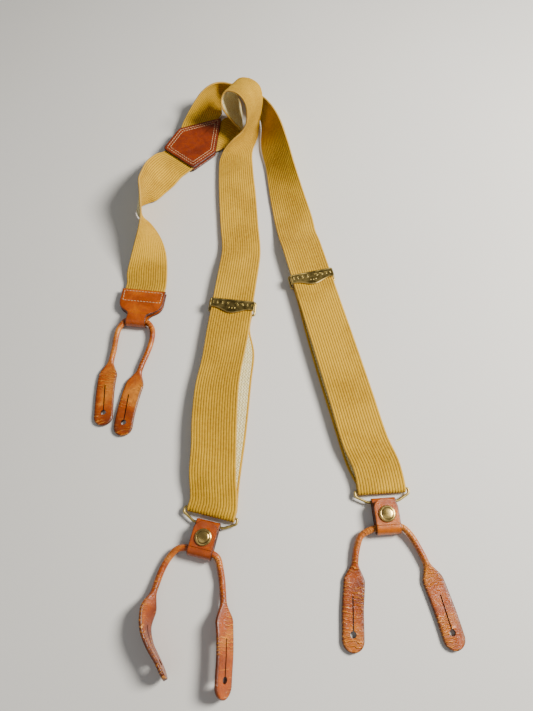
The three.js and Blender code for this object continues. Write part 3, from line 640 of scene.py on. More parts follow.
def webbing_material():
    """Ribbed elastic: golden khaki face with brown lines between its ribs, cream zig-zag mesh inside."""
    n = Nodes("webbing")
    across, along = n.uv()
    inner = n.mark()
    place = n.place()
    pitch = 1.0 / RIBS
    rib = n.math("FRACT", n.math("DIVIDE", across, pitch))
    line = n.spread(n.from_middle(rib), 0.3, 0.48)
    index = n.math("FLOOR", n.math("DIVIDE", across, pitch))
    shift = n.times(n.math("MODULO", index, 2.0), 0.5)
    weft = n.math("FRACT", n.plus(n.times(along, 1.0 / WEFT_PITCH), shift))
    pick = n.spread(n.from_middle(weft), 0.28, 0.5)
    fibre = n.noise(n.combine(n.times(across, WEB_WIDTH), n.times(along, 0.35)), 9.0, 4.0, 0.65)
    broken = n.noise(n.combine(index, n.times(along, 0.8)), 1.3, 2.0)
    patchy = n.noise(place, 24.0, 3.0)
    mottled = n.noise(place, 420.0, 2.0)
    base = n.mix(n.spread(patchy, 0.38, 0.64), rgb(196, 148, 20), rgb(232, 180, 34))
    base = n.mix(n.spread(mottled, 0.3, 0.75, 0.0, 0.4), base, rgb(244, 200, 52))
    base = n.mix(n.spread(fibre, 0.35, 0.75, 0.0, 0.45), base, rgb(156, 106, 30))
    line_strength = n.times(line, n.spread(broken, 0.3, 0.7, 0.5, 0.95))
    base = n.mix(line_strength, base, rgb(108, 66, 16))
    base = n.mix(n.times(pick, 0.5), base, rgb(126, 82, 10))
    edge = n.spread(n.from_middle(across), 0.47, 0.492)
    base = n.mix(n.times(edge, 0.7), base, rgb(214, 170, 80))
    stain = n.spread(n.noise(place, 11.0, 4.0, 0.6), 0.62, 0.74, 0.0, 0.3)
    base = n.mix(stain, base, rgb(128, 88, 40))

    zig = n.times(n.math("PINGPONG", along, 1.6), 0.03)
    column = n.math("FRACT", n.times(n.plus(across, zig), 15.0))
    wale = n.spread(n.from_middle(column), 0.16, 0.46)
    hole = n.times(wale, n.spread(n.from_middle(weft), 0.05, 0.35))
    cream = n.mix(n.spread(mottled, 0.3, 0.7), rgb(236, 220, 156), rgb(250, 240, 190))
    cream = n.mix(n.times(hole, 0.75), cream, rgb(146, 112, 54))
    selvedge = n.spread(n.from_middle(across), 0.445, 0.455)
    cream = n.mix(selvedge, cream, base)
    colour = n.mix(inner, base, cream)

    sunk = n.plus(n.times(line, 0.8), n.times(pick, 0.6))
    face_height = n.minus(n.times(fibre, 0.35), sunk)
    inner_height = n.minus(n.times(fibre, 0.3), n.times(hole, 1.2))
    height = n.mix(inner, face_height, inner_height)
    fuzz = n.noise(place, 2600.0, 2.0, 0.7)
    normal = n.bump(height, 0.00035, 0.9, n.bump(fuzz, 0.00012, 0.5))
    rough = n.spread(fibre, 0.2, 0.8, 0.74, 0.95)
    return n.set(colour=colour, rough=rough, normal=normal, sheen=0.05, sheen_rough=0.5, specular=0.14)


def leather_material(name, dark, middle, light, edge_colour, gloss, wrinkles=0.0):
    """Vegetable-tanned leather: drifting colour, fine grain, creases, scuffs, burnished edges."""
    n = Nodes(name)
    place = n.place()
    drift = n.noise(place, 32.0, 4.0, 0.6, 0.6)
    fine = n.noise(place, 240.0, 4.0, 0.65)
    colour = n.ramp(drift, (0.28, dark), (0.5, middle), (0.74, light))
    colour = n.mix(n.spread(fine, 0.35, 0.72, 0.0, 0.4), colour, dark)
    cells = n.new("ShaderNodeTexVoronoi", {"Vector": place, "Scale": 1500.0}, feature="DISTANCE_TO_EDGE")
    grain = n.spread(cells.outputs[0], 0.0, 0.28)
    pore = n.noise(place, 3200.0, 2.0, 0.6)
    colour = n.mix(n.times(n.minus(1.0, grain), 0.3), colour, dark)
    scratch_place = n.scratches(place, 0.7, (60.0, 900.0, 60.0))
    scratch = n.spread(n.noise(scratch_place, 1.0, 3.0, 0.6), 0.66, 0.72, 0.0, 0.5)
    colour = n.mix(scratch, colour, light)
    burnish = n.mark()
    ragged = n.times(burnish, n.spread(fine, 0.2, 0.6, 0.65, 1.0))
    colour = n.mix(ragged, colour, edge_colour)
    height = n.plus(n.times(grain, 0.55), n.times(pore, 0.35))
    normal = n.bump(height, 0.00012, 0.7)
    dents = n.noise(place, 140.0, 3.0, 0.55)
    normal = n.bump(dents, 0.0006, 0.5, normal)
    if wrinkles:
        _across, along = n.uv()
        wander = n.plus(along, n.times(n.noise(place, 90.0, 3.0, 0.6), 9.0))
        fold = n.math("SINE", n.times(wander, 2.3))
        patches = n.spread(n.noise(place, 55.0, 2.0), 0.42, 0.62)
        crease = n.times(n.spread(fold, 0.2, 1.0), patches)
        normal = n.bump(crease, 0.0009 * wrinkles, 0.85, normal)
        colour = n.mix(n.times(crease, 0.35 * wrinkles), colour, light)
    rough = n.spread(fine, 0.25, 0.75, gloss - 0.06, gloss + 0.18)
    return n.set(colour=colour, rough=rough, normal=normal, specular=0.45, coat=0.08, coat_rough=0.15)


def brass_material(name, bright, dull, deep, wear, rough_low, rough_high, tarnish=0.85):
    """Antiqued brass: bright metal on what rubs, brown tarnish in what doesn't."""
    n = Nodes(name)
    place = n.place()
    cloud = n.noise(place, 130.0, 4.0, 0.65)
    speck = n.noise(place, 900.0, 3.0, 0.6)
    convex = n.spread(n.new("ShaderNodeNewGeometry").outputs["Pointiness"], 0.49, 0.56)
    colour = n.mix(n.spread(cloud, 0.35, 0.65), dull, bright)
    colour = n.mix(n.times(convex, wear), colour, bright)
    colour = n.mix(n.times(n.mark(), tarnish), colour, deep)
    colour = n.mix(n.spread(speck, 0.58, 0.74, 0.0, 0.55), colour, deep)
    scratch_place = n.scratches(place, 0.5, (300.0, 4000.0, 300.0))
    scratch = n.noise(scratch_place, 1.0, 3.0, 0.7)
    rough = n.plus(n.spread(cloud, 0.3, 0.7, rough_low, rough_high), n.times(scratch, 0.12))
    normal = n.bump(n.plus(n.times(scratch, 0.3), speck), 0.00006, 0.6)
    return n.set(colour=colour, rough=rough, metal=1.0, normal=normal)


def thread_material(name, pale, deep):
    n = Nodes(name)
    across, along = n.uv()
    ply = n.math("SINE", n.plus(n.times(along, 14.0), n.times(across, 6.283)))
    fuzz = n.noise(n.place(), 2400.0, 2.0)
    colour = n.mix(n.spread(ply, -0.8, 0.6), deep, pale)
    colour = n.mix(n.times(fuzz, 0.3), colour, deep)
    normal = n.bump(n.plus(ply, fuzz), 0.00008, 0.8)
    return n.set(colour=colour, rough=0.78, normal=normal, sheen=0.2)


def floor_material():
    n = Nodes("table_top")
    place = n.place()
    drift = n.noise(place, 3.0, 3.0)
    colour = n.mix(drift, rgb(214, 212, 208), rgb(224, 222, 218))
    normal = n.bump(n.noise(place, 700.0, 2.0), 0.0001, 0.25)
    return n.set(colour=colour, rough=0.85, normal=normal)


WEBBING = webbing_material()
PATCH_LEATHER = leather_material(
    "patch_leather", rgb(80, 22, 0), rgb(124, 42, 0), rgb(168, 66, 2), rgb(40, 12, 2), gloss=0.32,
)
TAB_LEATHER = leather_material(
    "tab_leather", rgb(112, 38, 0), rgb(176, 78, 0), rgb(220, 120, 2), rgb(52, 16, 2), gloss=0.27,
)
LOOP_LEATHER = leather_material(
    "loop_leather", rgb(100, 34, 0), rgb(174, 78, 2), rgb(236, 152, 50), rgb(54, 20, 4),
    gloss=0.26, wrinkles=1.25,
)
ANTIQUE = brass_material(
    "antique_brass", rgb(196, 172, 104), rgb(138, 118, 62), rgb(70, 58, 28),
    wear=0.7, rough_low=0.28, rough_high=0.46, tarnish=0.6,
)
BRIGHT = brass_material(
    "bright_brass", rgb(226, 196, 122), rgb(196, 164, 92), rgb(104, 78, 36),
    wear=0.5, rough_low=0.16, rough_high=0.3,
)
CREAM_THREAD = thread_material("cream_thread", rgb(232, 208, 160), rgb(160, 116, 66))


# ------------------------------------------------------------------ threads
def stitches(name, path, normals, material, body, lift=0.12):
    """One row of stitches: short bulging threads along a path of millimetre points."""
    build = Builder()
    sides = 8
    distance = 0.0
    lengths = [0.0]
    for a, b in zip(path, path[1:]):
        distance += (b - a).length
        lengths.append(distance)
    count = max(1, round(distance / STITCH))
    pitch = distance / count

    def locate(d):
        d = min(max(d, 0.0), distance)
        for i in range(len(path) - 1):
            if d <= lengths[i + 1] or i == len(path) - 2:
                part = (d - lengths[i]) / max(lengths[i + 1] - lengths[i], 1e-9)
                up = normals[i].lerp(normals[i + 1], part).normalized()
                return path[i].lerp(path[i + 1], part), up

    for s in range(count):
        start = s * pitch + STITCH_GAP / 2
        stop = (s + 1) * pitch - STITCH_GAP / 2
        rings = []
        steps = 6
        for k in range(steps + 1):
            part = k / steps
            at = start + (stop - start) * part
            point, up = locate(at)
            ahead, _ = locate(at + 0.2)
            behind, _ = locate(at - 0.2)
            direction = (ahead - behind).normalized()
            side = direction.cross(up).normalized()
            arch = math.sin(math.pi * part)
            radius = THREAD_RADIUS * (0.55 + 0.45 * arch**0.5)
            centre = point + up * (lift + STITCH_RISE * arch - STITCH_SINK)
            ring = build.ring([centre + radius * (cos * side + sin * up) for cos, sin in circle(sides)])
            rings.append((ring, [0.0] * sides, k * 0.4))
        build.skin(rings)
        build.ends(rings[0][0], rings[-1][0], 0.0)
    obj = build.object(name, material, 60)
    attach(obj, body)
    return obj


# ------------------------------------------------------------------ webbing
def web_section():
    """Half heights of the webbing's face and back over its width: ribs on the face, thin at both edges."""
    columns = RIBS * WEB_COLUMNS
    section = []
    for i in range(columns + 1):
        across = i / columns
        rib = abs(math.cos(math.pi * across * RIBS))
        groove = 1.0 - (1.0 - rib) ** 1.5
        edge = min(across, 1.0 - across) * WEB_WIDTH
        round_off = math.sqrt(max(0.0, 1.0 - (1.0 - min(edge / WEB_EDGE_ROUND, 1.0)) ** 2))
        face = WEB_THICK / 2 - RIB_DEPTH * groove
        back = WEB_THICK / 2 - RIB_DEPTH * BACK_RIB_SHARE * groove
        section.append((across, face * (0.25 + 0.75 * round_off), back * (0.25 + 0.75 * round_off)))
    return section


def strap(name, stations):
    """Webbing between two edge curves, and its length along the middle."""
    edges = [Spline([s[side] for s in stations]) for side in (0, 1)]
    section = web_section()
    build = Builder()
    rings = []
    run = 0.0
    last = None
    spans = len(stations) - 1
    for i in range(spans):
        reach = max((stations[i + 1][side] - stations[i][side]).length for side in (0, 1))
        steps = max(2, math.ceil(reach / WEB_FINE_STEP))
        for j in range(steps + (1 if i == spans - 1 else 0)):
            t = (i + j / steps) / spans
            a, b = edges[0].at(t), edges[1].at(t)
            across = b - a
            normals = [edge.tangent(t).cross(across).normalized() for edge in edges]
            middle = (a + b) / 2
            if last is not None:
                run += (middle - last).length
            last = middle
            top, bottom = [], []
            for part, face, back in section:
                point = a.lerp(b, part)
                normal = normals[0].lerp(normals[1], part).normalized()
                top.append(point + normal * face)
                bottom.append(point - normal * back)
            rings.append((build.ring(top), build.ring(bottom), run))
    columns = len(section)
    for (top_a, bottom_a, v_a), (top_b, bottom_b, v_b) in zip(rings, rings[1:]):
        for j in range(columns - 1):
            u0, u1 = section[j][0], section[j + 1][0]
            uv = [(u0, v_a), (u1, v_a), (u1, v_b), (u0, v_b)]
            build.face([top_a[j], top_a[j + 1], top_b[j + 1], top_b[j]], uv)
            under = [bottom_a[j], bottom_b[j], bottom_b[j + 1], bottom_a[j + 1]]
            build.face(under, [uv[0], uv[3], uv[2], uv[1]], [1.0] * 4)
        for j, u in ((0, 0.0), (columns - 1, 1.0)):
            rim = [top_a[j], top_b[j], bottom_b[j], bottom_a[j]]
            build.face(rim, [(u, v_a), (u, v_b), (u, v_b), (u, v_a)])
    for top, bottom, v in (rings[0], rings[-1]):
        build.face(top + bottom[::-1], [(0.5, v)] * (2 * columns))
    obj = build.object(name, WEBBING, 50)
    return obj, run


def make_straps():
    for name, stations in STRAPS.items():
        obj, length = strap(f"{name}_webbing", stations)
        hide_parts(name)
        if name.startswith("strap_return"):
            side = name.split("_")[-1]
            place = SLIDER[side]
            start = place.metres(RETURN_BEND, 0, LAYER)
            end = place.metres(FRAME_HALF_LENGTH + END_LAP, 0, LAYER)
            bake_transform(obj)
        else:
            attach(obj, "straps")


# ------------------------------------------------------------------ leather pieces
def leather_sheet(name, outline, thick, transform, material, body):
    """A flat leather piece from an outline, with rounded burnished edges."""
    build = Builder()
    count = len(outline)
    centre = Vector((sum(p[0] for p in outline) / count, sum(p[1] for p in outline) / count))
    edge_round = min(0.6, thick * 0.35)
    inset = [(0.0, 0.5), (0.15, 0.78), (0.45, 0.94), (1.0, 1.0), (2.4, 1.0)]
    levels = 7

    def shrink(amount):
        points = []
        for i, point in enumerate(outline):
            before, after = Vector(outline[i - 1]), Vector(outline[(i + 1) % count])
            tangent = (after - before).normalized()
            inward = Vector((-tangent.y, tangent.x))
            if inward.dot(centre - Vector(point)) < 0:
                inward = -inward
            points.append(Vector(point) + inward * amount)
        return points

    def put(point, height):
        return transform @ Vector((point.x, point.y, height))

    def loops(sign):
        rings = []
        for amount, rise in inset:
            height = thick / 2 + sign * thick / 2 * (2 * rise - 1)
            mark = 1.0 if amount < 0.3 else 0.55 if amount < 1.0 else 0.0
            if amount == 1.0:
                mark = 0.25
            rings.append((build.ring([put(p, height) for p in shrink(amount * edge_round / 0.6)]), mark))
        inner = shrink(inset[-1][0] * edge_round / 0.6)
        for k in range(1, levels):
            part = k / levels
            height = thick / 2 + sign * thick / 2
            rings.append((build.ring([put(p.lerp(centre, part), height) for p in inner]), 0.0))
        tip = build.ring([put(centre, thick / 2 + sign * thick / 2)])[0]
        return rings, tip

    rims = []
    for sign in (1, -1):
        rings, tip = loops(sign)
        rims.append(rings[0][0])
        for (a, mark_a), (b, mark_b) in zip(rings, rings[1:]):
            for j in range(count):
                i = (j + 1) % count
                build.face([a[j], a[i], b[i], b[j]], None, [mark_a, mark_a, mark_b, mark_b])
        last = rings[-1][0]
        for j in range(count):
            build.face([last[j], last[(j + 1) % count], tip])
    top, bottom = rims
    for j in range(count):
        i = (j + 1) % count
        build.face([top[j], top[i], bottom[i], bottom[j]], None, [1.0] * 4)
    obj = build.object(name, material, 50)
    edit = bmesh.new()
    edit.from_mesh(obj.data)
    bmesh.ops.remove_doubles(edit, verts=edit.verts, dist=1e-7)
    edit.to_mesh(obj.data)
    edit.free()
    outward(obj.data)
    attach(obj, body)
    return obj


def rounded_outline(corners, radius):
    return rounded_path(corners, radius, step=1.6, bend_steps=6)


PATCH_CORNERS = [
    (0, -PATCH_BASE / 2), (PATCH_SIDE, -PATCH_SHOULDER / 2), (PATCH_LENGTH, 0),
    (PATCH_SIDE, PATCH_SHOULDER / 2), (0, PATCH_BASE / 2),
]


def make_patch():
    stand = (
        Matrix.Translation((PATCH_X, PATCH_Y, PATCH_MID_Z))
        @ Matrix.Rotation(math.radians(PATCH_AZIMUTH), 4, "Z")
        @ Matrix.Rotation(math.radians(PATCH_ROLL), 4, "X")
    )
    reach = WEB_THICK / 2 + PATCH_GAP
    outline = rounded_outline(PATCH_CORNERS, PATCH_ROUND)
    for name, base in (("back_patch_front", reach), ("back_patch_rear", -reach - PATCH_THICK)):
        obj = leather_sheet(f"{name}_leather", outline, PATCH_THICK, stand @ Matrix.Translation((0, 0, base)),
                            PATCH_LEATHER, "straps")
        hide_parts(name)
    for row, inset in enumerate((3.2, 5.9)):
        corners = []
        for i, corner in enumerate(PATCH_CORNERS):
            corner = Vector(corner)
            before = (Vector(PATCH_CORNERS[i - 1]) - corner).normalized()
            after = (Vector(PATCH_CORNERS[(i + 1) % 5]) - corner).normalized()
            half = math.acos(max(-1.0, min(1.0, before.dot(after)))) / 2
            corners.append(corner + (before + after).normalized() * (inset / math.sin(half)))
        line = rounded_outline(corners, 1.6)
        line.append(line[0])
        for face, side in (("outer", 1), ("inner", -1)):
            height = side * (reach + PATCH_THICK)
            path = [stand @ Vector((p.x, p.y, height)) for p in line]
            up = (stand.to_3x3() @ Vector((0, 0, side))).normalized()
            stitches(f"patch_stitches_{face}_{row + 1}", path, [up] * len(path), CREAM_THREAD, "straps")


def bent_strip(name, centre, thick, outline, place, material, closed_edge=True):
    """A leather strip bent along a centre line of (x, z) points in the (along, height) plane.

    outline(x) gives the strip's half width at x along the place's own heading.
    """
    spline = Spline([(x, 0, z) for x, z in centre], 400)
    count = max(12, int(spline.length / STRIP_STEP))
    round_steps = 4
    columns = 18
    build = Builder()
    rings = []
    transform = place.matrix()
    for i in range(count + 1):
        t = spline.parameter(spline.length * i / count)
        point = spline.at(t)
        tangent = spline.tangent(t)
        normal = Vector((-tangent.z, 0, tangent.x))
        half = outline(point.x)
        end = min(i / count, 1 - i / count) * spline.length
        pinch = math.sqrt(max(0.05, 1 - (1 - min(end / (thick * 0.45), 1.0)) ** 2)) if closed_edge else 1.0
        bulge = thick / 2 * 0.7
        high = thick / 2 * pinch
        section = []
        flat = max(half - bulge, 0.2)
        for k in range(columns + 1):
            section.append((-flat + 2 * flat * k / columns, high, 0.0 if 0 < k < columns else 0.35))
        for k in range(1, round_steps * 2):
            angle = math.pi / 2 - math.pi * k / (round_steps * 2)
            section.append((flat + bulge * math.cos(angle), high * math.sin(angle), 1.0))
        for k in range(columns + 1):
            section.append((flat - 2 * flat * k / columns, -high, 0.0 if 0 < k < columns else 0.35))
        for k in range(1, round_steps * 2):
            angle = -math.pi / 2 - math.pi * k / (round_steps * 2)
            section.append((-flat + bulge * math.cos(angle), high * math.sin(angle), 1.0))
        ring = build.ring([transform @ (point + Vector((0, y, 0)) + normal * z) for y, z, _ in section])
        marks = [m if pinch > 0.95 else max(m, 0.8) for _, _, m in section]
        rings.append((ring, marks, i / count * spline.length))
    build.skin(rings)
    build.ends(rings[0][0], rings[-1][0], 1.0)
    obj = build.object(name, material, 60)
    return obj


def arc(x, z, radius, start, stop, steps=12):
    turns = [turn(start + (stop - start) * i / steps) for i in range(steps + 1)]
    return [(x + radius * cos, z + radius * sin) for cos, sin in turns]


def make_rear_tab():
    low = TABLE_GAP + REAR_TAB_THICK / 2
    high = REAR_STRAP_Z + WEB_THICK / 2 + FIT + REAR_TAB_THICK / 2
    centre = [
        (0, high), (10, high), (REAR_TAB_CORD - 14, high), (REAR_TAB_CORD - 9, high + 0.7),
        (REAR_TAB_CORD - 5, REAR_CORD_Z + REAR_CORD_FOLD - 0.5),
        *arc(REAR_TAB_CORD, REAR_CORD_Z, REAR_CORD_FOLD, 100, -90),
        (REAR_TAB_CORD - 10, low), (10, low), (0, low),
    ]
    half, neck = REAR_TAB_WIDTH / 2, REAR_TAB_NECK / 2
    plan = Spline([
        (-1, half, 0), (8, half - 0.15, 0), (15, half - 0.3, 0), (20.5, half - 2.5, 0), (26, neck + 2, 0),
        (29.5, neck, 0), (REAR_TAB_CORD + 6, neck + 0.4, 0),
    ], 300)

    def outline(x):
        low_t, high_t = 0.0, 1.0
        for _ in range(24):
            middle = (low_t + high_t) / 2
            if plan.at(middle).x < x:
                low_t = middle
            else:
                high_t = middle
        return plan.at((low_t + high_t) / 2).y

    obj = bent_strip("rear_tab_leather", centre, REAR_TAB_THICK, outline, REAR_TAB, TAB_LEATHER)
    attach(obj, "straps")
    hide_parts("rear_tab")
    inset = 2.6
    depth = 13.2
    rectangle = [
        (inset, -half + inset), (depth, -half + inset + 0.5),
        (depth, half - inset - 0.5), (inset, half - inset),
    ]
    line = rounded_outline(rectangle, 0.8)
    line.append(line[0])
    for face, height in (("outer", high + REAR_TAB_THICK / 2), ("inner", low - REAR_TAB_THICK / 2)):
        side = 1 if face == "outer" else -1
        path = [REAR_TAB.point(p.x, p.y, height) for p in line]
        stitches(f"rear_tab_stitches_{face}", path, [Vector((0, 0, side))] * len(path), CREAM_THREAD, "straps",
                 lift=0.12 if side > 0 else -0.02)


def make_tab(side):
    place = FOLD[side]
    body = f"tab_{side}"
    flap_body = f"flap_{side}"
    half = TAB_WIDTH / 2

    def straight(_x):
        return half

    centre = [
        (TAB_INNER_END, TAB_INNER_Z), (17, TAB_INNER_Z),
        *arc(BAIL_DROP, LOWER_BAR_Z, WRAP_RADIUS, 90, 270, 10),
        (16, TABLE_GAP + TAB_THICK / 2), (22, TABLE_GAP + TAB_THICK / 2),
        *arc(TAB_LENGTH, CORD_Z, CORD_FOLD, -90, 90, 12),
        (FLAP_HINGE_AT + FIT, FLAP_Z),
    ]
    tab = bent_strip(f"snap_tab_{side}_leather", centre, TAB_THICK, straight, place, TAB_LEATHER,
                     closed_edge=False)
    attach(tab, body)
    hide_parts(f"snap_tab_{side}")

    def tongue(x):
        depth = x - FLAP_TOP
        if depth >= FLAP_ROUND:
            return half
        return half - FLAP_ROUND * (1 - math.sqrt(max(0.02, 1 - (1 - max(depth, 0) / FLAP_ROUND) ** 2)))

    flap_line = [(FLAP_HINGE_AT, FLAP_Z), (22, FLAP_Z), (15, FLAP_Z), (FLAP_TOP, FLAP_Z)]
    flap = bent_strip(f"tab_flap_{side}_leather", flap_line, TAB_THICK, tongue, place, TAB_LEATHER,
                      closed_edge=False)
    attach(flap, flap_body)
    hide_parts(f"tab_flap_{side}")


# ------------------------------------------------------------------ button loops
def smoothstep(value, low, high):
    t = min(max((value - low) / (high - low), 0.0), 1.0)
    return t * t * (3 - 2 * t)


def buttonhole(name, point, back, normal):
    """Keyhole cutter: a round hole near the tip and a slit running back from it."""
    across = back.cross(normal)
    meet = math.degrees(math.asin(SLIT_WIDTH / 2 / HOLE_RADIUS))
    steps = 28
    turns = [turn(90 + meet + (360 - 2 * meet) * k / steps) for k in range(steps + 1)]
    shape = [(HOLE_RADIUS * cos, HOLE_RADIUS * sin) for cos, sin in turns]
    shape += [(SLIT_WIDTH / 2, SLIT_LENGTH), (-SLIT_WIDTH / 2, SLIT_LENGTH)]
    cut = Builder()
    low = cut.ring([point + across * x + back * y - normal * 6 for x, y in shape])
    high = cut.ring([point + across * x + back * y + normal * 6 for x, y in shape])
    for j in range(len(shape)):
        i = (j + 1) % len(shape)
        cut.face([low[j], low[i], high[i], high[j]], None, [1.0] * 4)
    cut.ends(low, high, 1.0)
    return cut.object(name, LOOP_LEATHER)


def make_loop(name, body):
    route = LOOPS[name]
    spline = Spline([r[:3] for r in route], 1600)
    length = spline.length

    def frame_at(distance):
        t = spline.parameter(distance)
        tangent = spline.tangent(t)
        side = Vector((0, 0, 1)).cross(tangent).normalized()
        place = t * (len(route) - 1)
        i = min(int(place), len(route) - 2)
        roll = route[i][3] + (route[i + 1][3] - route[i][3]) * (place - i)
        side = Matrix.Rotation(math.radians(roll), 3, tangent) @ side
        return spline.at(t), tangent, side, tangent.cross(side)

    spots = [0.05, 0.3, 0.7, 1.2, 1.9, 2.7, 3.6]
    spots = spots + [length - s for s in spots]
    middle = length - 2 * LOOP_ENDS
    count = int(middle / LOOP_RING_STEP)
    spots += [LOOP_ENDS + middle * i / count for i in range(count + 1)]
    spots.sort()
    build = Builder()
    rings = []
    arc_steps = 6
    flat_steps = 8
    for distance in spots:
        point, tangent, side, normal = frame_at(distance)
        near = min(distance, length - distance)
        shoulder = smoothstep(near, BLADE_LENGTH - 14, BLADE_LENGTH)
        flat_width = BLADE_HALF_WIDTH + (CORD_RADIUS - BLADE_HALF_WIDTH) * shoulder
        tip = min(near / BLADE_HALF_WIDTH, 1.0)
        wide = max(flat_width * math.sqrt(max(0.02, 1 - (1 - tip) ** 2)), 1.1)
        swelling = smoothstep(near, BLADE_LENGTH - 8, BLADE_LENGTH + 2)
        thick = BLADE_HALF_THICK + (CORD_RADIUS - BLADE_HALF_THICK) * swelling
        corner = min(thick, wide)
        flat = wide - corner
        ring, marks = [], []
        on_blade = 1.0 - smoothstep(near, BLADE_LENGTH - 12, BLADE_LENGTH)
        for sign in (1, -1):
            for k in range(arc_steps + 1):
                angle = -math.pi / 2 + math.pi * k / arc_steps
                out, up = flat + corner * math.cos(angle), math.sin(angle)
                ring.append(point + side * sign * out + normal * sign * thick * up)
                marks.append(on_blade * (0.75 if 0 < k < arc_steps else 0.3))
            for k in range(1, flat_steps):
                part = 1 - 2 * k / flat_steps
                ring.append(point + side * sign * flat * part + normal * sign * thick)
                marks.append(0.0)
        if near < 1.0:
            marks = [0.8] * len(marks)
        rings.append((build.ring(ring), marks, distance))
    build.skin(rings)
    build.ends(rings[0][0], rings[-1][0], 0.8)
    obj = build.object(f"{name}_leather", LOOP_LEATHER, 50)
    cutters = []
    for end in (0, 1):
        distance = HOLE_FROM_TIP if end == 0 else length - HOLE_FROM_TIP
        point, tangent, _side, normal = frame_at(distance)
        back = tangent if end == 0 else -tangent
        cutters.append(buttonhole(f"{name}_cutter_{end}", point, back, normal))
    for cutter in cutters:
        modifier = obj.modifiers.new("buttonhole", "BOOLEAN")
        modifier.operation = "DIFFERENCE"
        modifier.solver = "EXACT"
        modifier.object = cutter
    apply_modifiers(obj)
    for cutter in cutters:
        bpy.data.objects.remove(cutter)
    smooth(obj.data, 50)
    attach(obj, body)
    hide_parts(name)


# ------------------------------------------------------------------ brass
def wire(name, corners, radius, bend, place, body, node):
    """Round wire around a closed outline with rounded corners."""
    path = rounded_path(corners, bend, step=3, bend_steps=8)
    build = Builder()
    sides = 16
    transform = place.matrix()
    rings = []
    for i, point in enumerate(path):
        tangent = (path[(i + 1) % len(path)] - path[i - 1]).normalized()
        side = tangent.cross(Vector((0, 0, 1))).normalized()
        lift = side.cross(tangent)
        rings.append(build.ring([
            transform @ (point + radius * (cos * side + sin * lift)) for cos, sin in circle(sides)
        ]))
    for i, a in enumerate(rings):
        b = rings[(i + 1) % len(rings)]
        for j in range(sides):
            k = (j + 1) % sides
            build.face([a[j], a[k], b[k], b[j]])
    obj = build.object(name, ANTIQUE, 60)
    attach(obj, body)
    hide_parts(node)


def plate_half(across, end):
    swell = max(0.0, math.cos((across / end) * math.pi * 0.62))
    return PLATE_HALF_LENGTH + PLATE_BELLY * swell * swell


def make_plate(side):
    """Stamped slider plate: raised border, scalloped lower edge, leaf scroll and three beads."""
    place = SLIDER[side]
    transform = place.matrix()
    end = HALF_WEB + PLATE_EDGE_ROOM + PLATE_THICK
    under = SLIDE_Z + WEB_THICK / 2 + FIT
    lug_bottom = UPPER_BAR_Z + FRAME_RADIUS + FIT
    top = under + PLATE_THICK
    columns, rows = 220, 44
    build = Builder()

    def relief(across, along, low, high):
        """Height of the stamped pattern over the plate's floor."""
        edge = min(along - low, high - along, end - abs(across))
        border = smoothstep(edge, 0.15, 0.5) * (1 - smoothstep(edge, 0.95, 1.3))
        inside = smoothstep(edge, 1.4, 1.7)
        reach = abs(across) / end
        scroll = 0.0
        for centre, size in ((0.2, 1.5), (0.44, 1.35), (0.66, 1.2), (0.85, 0.95)):
            x = abs(across) - centre * end
            y = along + 0.4
            distance = math.hypot(x, y)
            spiral = math.cos(math.atan2(y, x) * 2 + distance * 3.2)
            scroll = max(scroll, (1 - smoothstep(distance, size, size + 0.4)) * smoothstep(spiral, -0.1, 0.5))
        beads = 0.0
        for centre in (-1, 0, 1):
            distance = math.hypot(across - centre * 2.6, along - 4.3 + 0.35 * abs(centre))
            beads = max(beads, 1 - smoothstep(distance, 0.45, 0.8))
        stamped = inside * max(0.22 * scroll * (reach < 0.95), 0.3 * beads)
        return STAMP_DEPTH * border + stamped, max(border, inside * max(scroll, beads))

    lug = 1.6
    grid = []
    for i in range(columns + 1):
        across = -end + 2 * end * i / columns
        inset = max(0.0, abs(across) - (end - lug))
        trim = lug - math.sqrt(max(0.0, lug * lug - inset * inset))
        low = -PLATE_HALF_LENGTH + trim
        high = plate_half(across, end) - trim
        column = []
        for j in range(rows + 1):
            along = low + (high - low) * (j / rows)
            lift, raised = relief(across, along, low, high)
            column.append((across, along, lift, raised))
        grid.append(column)
    ground = top - STAMP_DEPTH
    top_ids, top_marks, bottom_ids = [], [], []
    for column in grid:
        top_ids.append(build.ring([
            transform @ Vector((along, across, ground + lift)) for across, along, lift, _ in column
        ]))
        top_marks.append([1.0 - raised for *_, raised in column])
        low = lug_bottom if abs(column[0][0]) > HALF_WEB + PLATE_EDGE_ROOM else under
        bottom_ids.append(build.ring([
            transform @ Vector((along, across, low)) for across, along, _, _ in column
        ]))
    for i in range(columns):
        for j in range(rows):
            corners = ((i, j), (i + 1, j), (i + 1, j + 1), (i, j + 1))
            build.face([top_ids[a][b] for a, b in corners], None, [top_marks[a][b] for a, b in corners])
            build.face([bottom_ids[a][b] for a, b in (corners[0], corners[3], corners[2], corners[1])])
    for i in range(columns):
        for j in (0, rows):
            build.face([top_ids[i][j], top_ids[i + 1][j], bottom_ids[i + 1][j], bottom_ids[i][j]])
    for i in (0, columns):
        for j in range(rows):
            build.face([top_ids[i][j], top_ids[i][j + 1], bottom_ids[i][j + 1], bottom_ids[i][j]])
    obj = build.object(f"slider_plate_{side}_brass", ANTIQUE, 40)
    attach(obj, f"slider_{side}")
    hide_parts(f"slider_plate_{side}")


